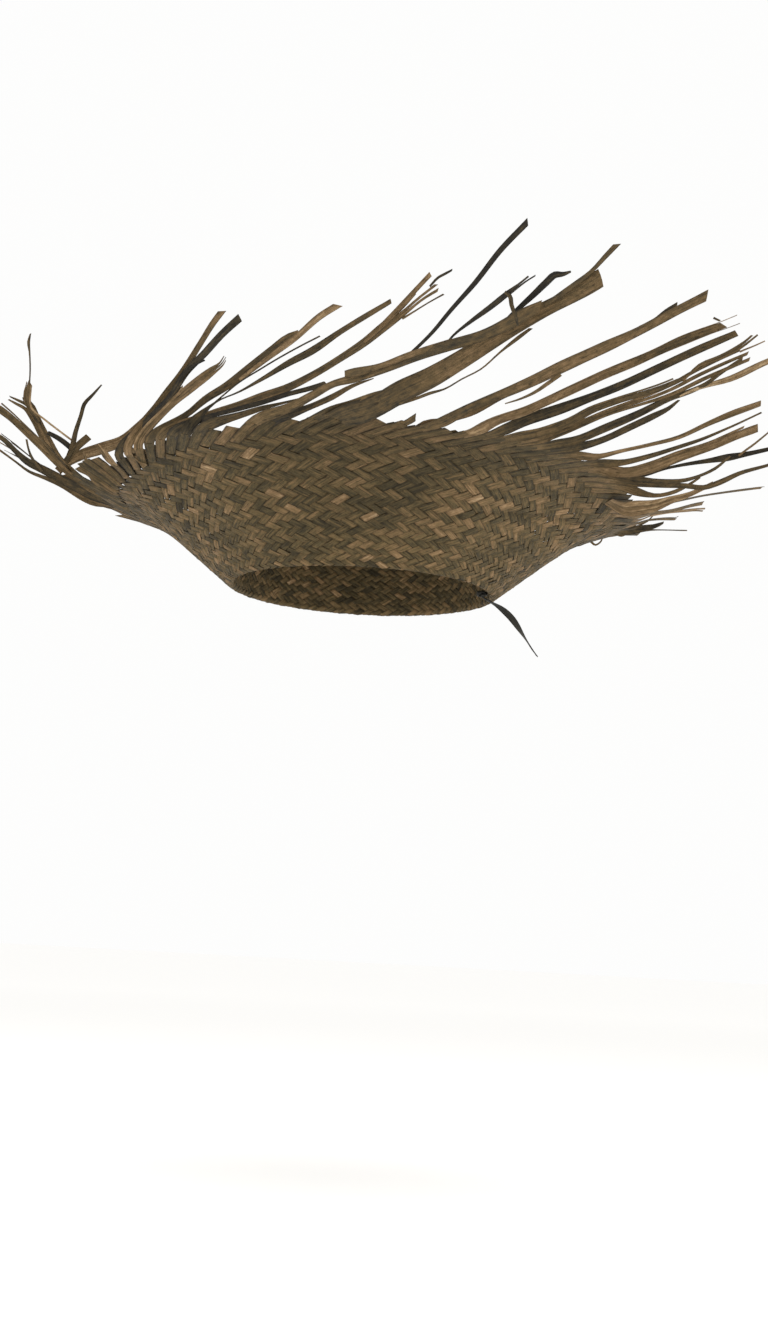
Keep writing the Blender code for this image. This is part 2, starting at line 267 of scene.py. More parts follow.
# --------------------------------------------------------------- mesh helpers
def new_object(name, mesh, mat, strand, tone):
    """Object of the mesh, with the two attributes that the leaf materials read."""
    for label, kind, field, values in (("strand", "FLOAT_VECTOR", "vector", strand),
                                       ("tone", "FLOAT_COLOR", "color", tone)):
        attribute = mesh.attributes.new(label, kind, "POINT")
        attribute.data.foreach_set(field, values.astype(np.float32).ravel())
    mesh.shade_smooth()
    thing = bpy.data.objects.new(name, mesh)
    bpy.context.scene.collection.objects.link(thing)
    mesh.materials.append(mat)
    return thing


class Ribbons:
    """Collects thin closed ribbons and turns them into one mesh."""

    def __init__(self):
        self.points, self.quads, self.caps, self.strand, self.tone = [], [], [], [], []
        self.count = 0

    def add(self, top, bottom, strand, tone):
        """Each array is (rings, columns, values)."""
        rings, size = top.shape[0], 2 * top.shape[1]
        index = self.count + np.arange(rings * size).reshape(rings, size)
        beside = np.roll(index, -1, axis=1)
        self.quads.append(np.stack([index[:-1], beside[:-1], beside[1:], index[1:]],
                                   -1).reshape(-1, 4))
        self.caps += [index[0][::-1], index[-1]]
        self.points.append(np.concatenate([top, bottom[:, ::-1]], 1).reshape(-1, 3))
        self.strand.append(np.concatenate([strand, strand[:, ::-1]], 1).reshape(-1, 3))
        self.tone.append(np.concatenate([tone, tone[:, ::-1]], 1).reshape(-1, 4))
        self.count += rings * size

    def build(self, name, mat, sharp_angle=55):
        points = np.concatenate(self.points)
        quads = np.concatenate(self.quads)
        caps = self.caps
        first, second, third, fourth = (points[quads[:, i]] for i in range(4))
        volume = np.sum(first * (np.cross(second, third) + np.cross(third, fourth)))
        if volume < 0:      # turn the faces outwards
            quads = quads[:, ::-1]
            caps = [cap[::-1] for cap in caps]
        loops = np.concatenate([quads.reshape(-1)] + caps).astype(np.int32)
        total = np.concatenate([np.full(len(quads), 4), [len(cap) for cap in caps]])
        mesh = bpy.data.meshes.new(name)
        mesh.vertices.add(len(points))
        mesh.vertices.foreach_set("co", points.astype(np.float32).ravel())
        mesh.loops.add(len(loops))
        mesh.loops.foreach_set("vertex_index", loops)
        mesh.polygons.add(len(total))
        mesh.polygons.foreach_set("loop_start", (np.cumsum(total) - total).astype(np.int32))
        mesh.polygons.foreach_set("loop_total", total.astype(np.int32))
        mesh.update(calc_edges=True)
        mesh.validate()
        thing = new_object(name, mesh, mat, np.concatenate(self.strand),
                           np.concatenate(self.tone))
        mesh.set_sharp_from_angle(angle=math.radians(sharp_angle))
        return thing


# ------------------------------------------------------------------ materials
def srgb(rgb):
    """Linear colour with alpha from 0-255 sRGB."""
    return tuple(c / 12.92 if c <= 0.04045 else ((c + 0.055) / 1.055) ** 2.4
                 for c in (value / 255.0 for value in rgb)) + (1.0,)


def leaf_material(name, ramp, roughness, fibre=1.0, bump=0.5, gain=1.0):
    """Dry palm leaf: long fibres, blotches, darker veins and darker edges, the edges being painted
    shade of the gaps between strips.
    strand holds the place across and along the leaf and a number of its own; tone holds
    the place on the ramp, brightness (which also carries painted shade), edge (0 middle, 1 edge) and
    a spare number."""
    mat = bpy.data.materials.new(name)
    mat.use_nodes = True
    tree = mat.node_tree
    link = tree.links.new
    leaf = tree.nodes["Principled BSDF"]

    def attribute(label):
        node = tree.nodes.new("ShaderNodeAttribute")
        node.attribute_name = label
        return node

    strand = attribute("strand").outputs["Vector"]
    parts = tree.nodes.new("ShaderNodeSeparateColor")
    link(attribute("tone").outputs["Color"], parts.inputs[0])
    place, brightness, edge = parts.outputs

    def calc(operation, first, second, clamp=False):
        node = tree.nodes.new("ShaderNodeMath")
        node.operation = operation
        node.use_clamp = clamp
        for socket, value in zip(node.inputs, (first, second)):
            if isinstance(value, (int, float)):
                socket.default_value = value
            else:
                link(value, socket)
        return node.outputs[0]

    def noise(scale, detail, roughness):
        mapping = tree.nodes.new("ShaderNodeMapping")
        mapping.inputs["Scale"].default_value = scale
        link(strand, mapping.inputs["Vector"])
        node = tree.nodes.new("ShaderNodeTexNoise")
        node.inputs["Scale"].default_value = 1.0
        node.inputs["Detail"].default_value = detail
        node.inputs["Roughness"].default_value = roughness
        link(mapping.outputs[0], node.inputs["Vector"])
        return node.outputs["Fac"]

    def over(field, level, weight, clamp=True):
        return calc("MULTIPLY", calc("SUBTRACT", field, level, clamp), weight)

    # scales: across the leaf, along it, from leaf to leaf
    fine = noise(scale=(2300, 60, 3.1), detail=3.0, roughness=0.65)     # single fibres
    ribs = noise(scale=(760, 22, 1.7), detail=3.0, roughness=0.6)       # bundles of fibres
    blots = noise(scale=(300, 150, 5.3), detail=4.0, roughness=0.68)    # stains and fading
    drift = noise(scale=(14, 11, 2.9), detail=2.0, roughness=0.5)       # slow change
    specks = noise(scale=(900, 330, 9.0), detail=3.0, roughness=0.7)    # small dark specks
    chinks = noise(scale=(620, 130, 4.4), detail=2.0, roughness=0.5)    # splits on the fibres

    for field, weight in ((blots, 0.66 * fibre), (drift, 0.30), (ribs, 0.62 * fibre),
                          (fine, 0.34 * fibre)):
        place = calc("ADD", place, over(field, 0.5, weight, clamp=False), clamp=field is fine)
    colours = tree.nodes.new("ShaderNodeValToRGB")
    link(place, colours.inputs[0])
    elements = colours.color_ramp.elements
    while len(elements) < len(ramp):
        elements.new(0.5)
    for element, (position, rgb) in zip(elements, ramp):
        element.position = position
        element.color = srgb(rgb)

    veins = calc("MULTIPLY", calc("SUBTRACT", 0.50, fine, clamp=True), 1.3 * fibre)
    spots = calc("ADD", veins, over(specks, 0.56, 2.8))
    # painted shade: strip edges are darkened for the shadowed gaps between strips
    edge_shade = calc("MULTIPLY", calc("POWER", edge, 4.0), 0.40)
    dark = calc("ADD", spots, calc("ADD", edge_shade, over(chinks, 0.60, 3.4)))
    dark = calc("MINIMUM", dark, 0.72)
    keep = calc("MULTIPLY", calc("SUBTRACT", 1.0, dark, clamp=True), brightness)
    keep = calc("MULTIPLY", keep, gain)
    grey = tree.nodes.new("ShaderNodeCombineColor")
    for i in range(3):
        link(keep, grey.inputs[i])
    shaded = tree.nodes.new("ShaderNodeMix")
    shaded.data_type = "RGBA"
    shaded.blend_type = "MULTIPLY"
    shaded.inputs["Factor"].default_value = 1.0
    link(colours.outputs["Color"], shaded.inputs["A"])
    link(grey.outputs[0], shaded.inputs["B"])
    link(shaded.outputs["Result"], leaf.inputs["Base Color"])

    link(calc("ADD", over(ribs, 0.5, 0.35, clamp=False), roughness, clamp=True),
         leaf.inputs["Roughness"])
    leaf.inputs["Specular IOR Level"].default_value = 0.18
    height = calc("ADD", calc("MULTIPLY", ribs, 0.7), calc("MULTIPLY", fine, 0.45))
    height = calc("ADD", height, calc("MULTIPLY", blots, 0.35))
    relief = tree.nodes.new("ShaderNodeBump")
    relief.inputs["Strength"].default_value = bump
    relief.inputs["Distance"].default_value = 0.0006
    link(height, relief.inputs["Height"])
    link(relief.outputs[0], leaf.inputs["Normal"])
    return mat


# Ramps from dark to light: position, sRGB colour.
PLAIT_RAMP = [(0.0, (50, 43, 28)), (0.25, (75, 65, 42)), (0.48, (100, 83, 54)),
              (0.72, (126, 101, 70)), (0.88, (145, 119, 87)), (1.0, (168, 143, 109))]
LEAF_RAMP = [(0.0, (34, 31, 26)), (0.20, (62, 54, 38)), (0.45, (94, 77, 50)),
             (0.66, (122, 99, 70)), (0.86, (155, 131, 98)), (1.0, (190, 167, 134))]
TIE_RAMP = [(0.0, (20, 19, 17)), (0.35, (38, 37, 32)), (0.6, (56, 54, 45)),
            (0.8, (80, 75, 60)), (0.9, (100, 92, 74)), (1.0, (120, 112, 92))]
MAT_BRIM = leaf_material("plaited_brim_leaf", PLAIT_RAMP, roughness=0.72, fibre=1.5, bump=1.0)
MAT_CROWN = leaf_material("plaited_crown_leaf", PLAIT_RAMP, roughness=0.74, fibre=1.5, bump=1.0)
MAT_EDGE = leaf_material("plaited_edge_leaf", PLAIT_RAMP, roughness=0.70, fibre=1.4, bump=1.0)
MAT_LEAF = leaf_material("loose_leaf", LEAF_RAMP, roughness=0.66, fibre=1.1, bump=0.85,
                         gain=1.06)
MAT_TIE = leaf_material("dark_tie", TIE_RAMP, roughness=0.52)

# ------------------------------------------------------------- slanting plait
# Two families of strips cross: going outwards, family 0 slants towards growing angles and
# family 1 towards falling ones. Places along a strip are counted in crossings.
STRIPS = 96                # strips in each family
PER_DEPTH = 45.2           # crossings for each unit of the cone's depth
CROWDING = 0.10            # the strips are finer at the two sides
AMP = 0.00056              # how far a strip stands off the middle of the cloth
THICK = 0.00050            # thickness of one leaf strip
ROUND = 0.16               # share of a crossing in which a strip changes face
LAST_FLOAT = 4             # crossings that the last float lies over
COLUMNS = np.array([-1.0, 0.0, 1.0])


def crossings(dist):
    return float(np.interp(dist, DIST, DEPTHS)) * PER_DEPTH


def seam_distance():
    profile = np.array([crown_profile(share) for share in np.linspace(0, SEAM - 0.004, 400)])
    radius = (CROWN_X + CROWN_Y) / 2 * profile[:, 0]
    return -np.sum(np.hypot(np.diff(radius), np.diff(profile[:, 1])))


N_EDGE = crossings(CROWN_INSET + EDGE_START * BRIM_REACH)
N_TOP = crossings(seam_distance())
X_RIM = crossings(D_RIM) + 0.5
M_LAST = math.floor(X_RIM)

strip_tone = RNG.normal(0.40, 0.055, (2, STRIPS)) - 0.11 * (RNG.random((2, STRIPS)) < 0.2)
float_tone = RNG.normal(0, 0.06, (2, STRIPS, 97))
pick = RNG.random((2, STRIPS, 97))
float_tone += (pick < 0.15) * RNG.uniform(0.12, 0.30, pick.shape)
float_tone -= (pick > 0.86) * RNG.uniform(0.07, 0.15, pick.shape)
strip_noise = RNG.normal(0, 1, (2, 8, STRIPS, 61))

# Angle in degrees at which each strip of family 0 meets the edge.
edge_phi = (2 * np.arange(STRIPS) + 0.5 + X_RIM) * PI / STRIPS
EDGE_AT = np.degrees(edge_phi + CROWDING * np.sin(2 * edge_phi)) % 360
# Towards the edge the strips stand up: 1 is straight outwards.
UPRIGHT = np.interp(EDGE_AT, [0, 20, 240, 265, 288, 306, 325, 345, 360],
                    [0.10, 0.0, 0.0, 0.45, 0.55, 0.22, 0.20, 0.18, 0.10])
UPRIGHT_RUN = 3.8          # crossings before the rim in which they stand up
LEAD = {}                  # strip of family 0: tone of the leaf end it runs into


def stand_up(x):
    """How far the standing-up has gone at place x, in crossings."""
    part = np.clip((x - (X_RIM - UPRIGHT_RUN)) / UPRIGHT_RUN, 0, None)
    return UPRIGHT_RUN * np.where(part < 1, part ** 3 - part ** 4 / 2, part - 0.5)


def twill(crossing):
    """+1 where family 0 lies on the under side of the brim, else -1."""
    first_over = M_LAST - LAST_FLOAT + 1
    under = np.isin((crossing - first_over) % 4, (0, 1)) | (crossing >= first_over)
    return np.where(under, 1.0, -1.0)


def soften(x, state):
    """The state at place x, changing gradually between crossings."""
    crossing = np.floor(x)
    part = x - crossing
    before, here, after = state(crossing - 1), state(crossing), state(crossing + 1)
    enter = 0.5 + part / (2 * ROUND)
    leave = (part - 1 + ROUND) / (2 * ROUND)
    out = np.where(part < ROUND, before * (1 - enter) + here * enter, here)
    return np.where(part > 1 - ROUND, here * (1 - leave) + after * leave, out)


def ring_places(start, end):
    places = [start]
    for crossing in range(math.floor(start), math.ceil(end) + 1):
        for part in (ROUND, 0.5, 1 - ROUND):
            if start + 0.03 < crossing + part < end - 0.03:
                places.append(crossing + part)
    return np.array(places + [end])


def strip(family, i, places):
    """Top and bottom points, strand coordinates and tones of one strip."""
    tables = strip_noise[family, :, i]
    x = places[:, None]
    side = COLUMNS[None, :]

    def wander(row, scale):
        return slow_noise(tables[row], x + 40, scale)

    half = 0.5 * np.clip(1.02 + 0.03 * wander(1, 3.1) + 0.022 * wander(5, 0.37), 0.93, 1.07)
    if family == 0:
        rib = float(near(EDGE_AT[i], 284, 30)) ** 0.5 * smooth((x - (X_RIM - 4.0)) / 1.6)
        widen = 0.35 * UPRIGHT[i] * smooth((x - (X_RIM - UPRIGHT_RUN)) / 3.0)
        half = half * (1 + widen) * (1 - 0.44 * rib)
    off = side * half + 0.020 * wander(0, 2.7)
    if family == 0:
        left, right = i + 0.5 + off, i + x
    else:
        right, left = i + 0.5 + off, i + 1 - x
    phi = (left + right) * PI / STRIPS
    phi = phi + CROWDING * np.sin(2 * phi)
    if family == 0:
        phi = phi - UPRIGHT[i] * stand_up(x) * PI / STRIPS
    dist = np.interp((right - left) / PER_DEPTH, DEPTHS, DIST)

    face = soften(x, twill) * (1 if family == 0 else -1)
    lift = (-AMP * face * (1 + 0.18 * wander(2, 1.6)) + 0.00022 * side * wander(3, 1.3)
            - 0.00016 * (1 - side * side) * face)
    if family == 0:
        # round 284 degrees the last lengths stand on edge, one behind the other
        lift = lift - rib * (0.0013 - 0.0012 * side * (0.9 + 0.25 * tables[7][5]))
    thick = THICK * (1 - 0.35 * side * side)
    top = surf(phi, dist, lift + thick / 2)[0]
    bottom = surf(phi, dist, lift - thick / 2)[0]
    half_width = np.linalg.norm(top[:, -1] - top[:, 0], axis=1)[:, None] / 2
    strand = layers(side * half_width, path_length(top.mean(1))[:, None],
                    7.7 * i + 400 * family)

    float_number = (np.minimum(np.floor(x), M_LAST - 2) - (M_LAST - 1)) / 2
    float_number = np.floor(float_number).astype(int) % 97
    ramp_place = (strip_tone[family, i] + float_tone[family, i][float_number]
                  + 0.04 * wander(4, 2.3))
    last = np.floor(x) > M_LAST - LAST_FLOAT
    if family == 0 and i in LEAD:
        ramp_place = np.where(last, LEAD[i] + 0.04 * wander(4, 1.1), ramp_place)
    # random brightness of the leaf, multiplied below by painted shade
    brightness_and_shade = np.clip(1.0 + 0.06 * wander(6, 3.3), 0.8, 1.1)
    # darker towards the rim
    brightness_and_shade = brightness_and_shade * (1 - 0.15 * smooth((dist / D_RIM - 0.5) / 0.5))
    # painted shade: the deep middle of the front, the least lit part of the brim, is darkened
    brightness_and_shade = brightness_and_shade * (1 - 0.17 * near(np.degrees(phi), 0, 55)
                     * smooth((dist / D_RIM - 0.15) / 0.3))
    # painted shade in the crease
    brightness_and_shade = brightness_and_shade * (1 - 0.40 * brim_crease(phi, dist, 0.0016))
    if family == 1:
        # shadowed under the upright ends of the other family
        brightness_and_shade = brightness_and_shade * (1 - 0.75 * smooth((x - (X_RIM - 3.9)) / 0.8)
                         * near(np.degrees(phi), 284, 32))
    # the edge channel drives the material's painted edge shade, deeper on the last floats of family
    # 0
    edge = np.abs(side) * (1 + (0.16 if family == 0 else 0.0) * last)
    tone = layers(np.clip(ramp_place, 0.02, 0.98), brightness_and_shade, edge, (i * 0.37) % 1.0)
    return top, bottom, strand, tone


def plait(name, family, start, end, mat, ragged):
    """One family of strips; ragged is the most that is cut off their starts."""
    ribbons = Ribbons()
    for i in range(STRIPS):
        begin = start + ragged * RNG.random() if ragged else start
        ribbons.add(*strip(family, i, ring_places(begin, end)))
    thing = ribbons.build(name, mat)
    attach(thing, "hat")
    return thing


# ---------------------------------------------------------- top of the crown
TOP_PITCH = 0.0052         # from strip to strip
TOP_END = 0.80             # share of the crown's foot at which the strips end


def crown_top():
    """A square plait over the flat top, its strips at 45 degrees to X and Y."""
    profile = np.array([crown_profile(share) for share in np.linspace(0.3, 1.0, 700)])
    profile = profile[np.argsort(profile[:, 0])]

    def size_at(x, y):
        return np.sqrt((x / CROWN_X) ** 2 + (y / CROWN_Y) ** 2)

    def height(x, y):
        # the outer ends tuck in under the strips of the side
        size = size_at(x, y)
        return (np.interp(size, profile[:, 0], profile[:, 1]) + HEAD_Z
                - 0.0012 * smooth((size - 0.735) / 0.04))

    def gradient(function, step=0.0005):
        return ((function(step, 0) - function(-step, 0)) / (2 * step),
                (function(0, step) - function(0, -step)) / (2 * step))

    diagonal = np.array([math.cos(PI / 4), math.sin(PI / 4)])
    other = np.array([-diagonal[1], diagonal[0]])
    reach = int(0.11 / TOP_PITCH) + 2
    noise = RNG.normal(0, 1, (2, 2 * reach + 2, 5, 47))
    side = COLUMNS[None, :]
    ribbons = Ribbons()
    for family in (0, 1):
        run, across = (diagonal, other) if family == 0 else (other, diagonal)
        for j in range(-reach, reach):
            tables = noise[family][j + reach]
            places = []
            for crossing in range(-reach, reach):
                for part in (0.0, ROUND, 0.5, 1 - ROUND):
                    spot = (run * (crossing + part) * TOP_PITCH
                            + across * (j + 0.5) * TOP_PITCH)
                    if size_at(*spot) < TOP_END + 0.012 * tables[4][crossing % 47]:
                        places.append(crossing + part)
            if len(places) < 6:
                continue
            along = np.array(places)[:, None]

            def wander(row, scale):
                return slow_noise(tables[row], along + 60, scale)

            def state(crossing):
                step = crossing - j if family == 0 else j - crossing
                return np.where(np.isin(step % 4, (0, 1)), 1.0, -1.0)

            off = side * 0.5 * (0.95 + 0.03 * wander(0, 3)) + 0.5 + 0.03 * wander(1, 3)
            x, y = (run[k] * along * TOP_PITCH + across[k] * (j + off) * TOP_PITCH
                    for k in (0, 1))
            face = soften(along, state) * (1 if family == 0 else -1)
            lift = (AMP * face + 0.00015 * (1 - side * side) * face
                    + 0.00018 * side * wander(2, 2))
            slope_x, slope_y = gradient(lambda dx, dy: height(x + dx, y + dy))
            normal = unit(layers(-slope_x, -slope_y, 1.0))
            middle = layers(x, y, height(x, y))
            thick = THICK * (1 - 0.35 * side * side)
            ramp_place = 0.42 + 0.14 * tables[3][5] + 0.12 * wander(3, 2.5)
            ribbons.add(middle + normal * (lift + thick / 2)[..., None],
                        middle + normal * (lift - thick / 2)[..., None],
                        layers(side * TOP_PITCH / 2, along * TOP_PITCH,
                               3.3 * j + 900 + 300 * family),
                        layers(np.clip(ramp_place, 0.03, 0.97), 0.97, np.abs(side), 0.5))
    thing = ribbons.build("crown_top_strips", MAT_CROWN)
    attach(thing, "hat")
    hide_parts("crown_top")


crown_top()

# ------------------------------------------------------- tables of the fringe
# The frame's loose leaf ends, numbered in each sector: angle round the hat (degrees),
# length, width (millimetres), lean from the edge, lift, bend, sideways bend, twist
# (degrees), kind of end, colour.
FRINGE = {
    "front": """-33.5 185 9 29 0 3 -15 10 cut dark, -24.5 165 9 34 3 6 4 10 torn tan,
        -18.5 180 9 43 0 2 -4 15 torn olive, -12 205 14 49 -2 -6 -24 8 cut brown,
        -6 190 8 49 5 15 4 20 cut black, 0.5 200 17 41 -2 7 0 5 torn brown,
        7 160 8 52 6 18 -10 15 cut black, 13 200 11 43 -5 10 5 8 torn tan""",
    "front_right": """20 175 10 47 2 7 -6 8 torn tan, 26 178 8 47 0 1 6 10 cut dark,
        32 170 14 44 3 14 -4 8 torn olive, 38 155 9 46 1 0 4 6 cut tan,
        44 145 8 47 4 6 5 12 cut dark, 50 130 9 49 2 -4 2 10 torn brown,
        56 140 10 46 5 2 -8 6 cut tan""",
    "right": """62 145 6 48 4 8 -10 15 cut dark, 69 160 7 44 6 6 -14 12 cut tan,
        76 170 9 46 7 3 -18 8 torn dark, 83 155 7 44 7 4 -12 10 cut tan,
        91 110 8 47 1 2 -6 10 torn brown, 99 80 6 48 -2 -4 -4 6 cut dark""",
    "back_right": """109 95 9 46 0 3 -3 8 cut brown, 119 120 10 44 2 5 4 10 torn tan,
        129 140 8 45 0 2 -6 12 cut olive, 139 130 11 46 3 5 3 6 cut brown,
        149 150 9 44 1 3 -4 10 torn dark""",
    "back": """159 140 10 45 2 3 4 8 cut tan, 169 125 8 46 0 5 -5 12 cut olive,
        179 150 11 44 1 2 3 6 torn brown, 189 135 9 45 2 4 -3 10 cut dark,
        199 150 10 44 0 3 4 8 cut tan""",
    "back_left": """209 140 9 46 1 4 -4 10 torn brown, 218 150 8 45 0 6 3 12 cut olive,
        227 145 11 46 2 10 2 8 cut dark, 236 140 9 50 1 20 4 10 torn tan,
        245 125 7 47 0 16 -4 14 cut dark""",
    "left": """254 120 12 42 3 20 -6 10 torn brown, 263 130 9 38 1 16 -10 12 cut tan,
        272 185 8 28 -2 18 -20 20 torn dark, 281 130 8 29 -5 18 -12 14 cut brown,
        290 105 8 36 -5 8 -6 10 cut tan""",
    "front_left": """298 160 9 27 4 12 -12 12 torn tan, 305 175 9 25 1 6 -9 10 cut dark,
        312 150 10 26 -1 -1 -8 8 torn brown, 319 190 8 27 3 5 -12 12 cut dark""",
}
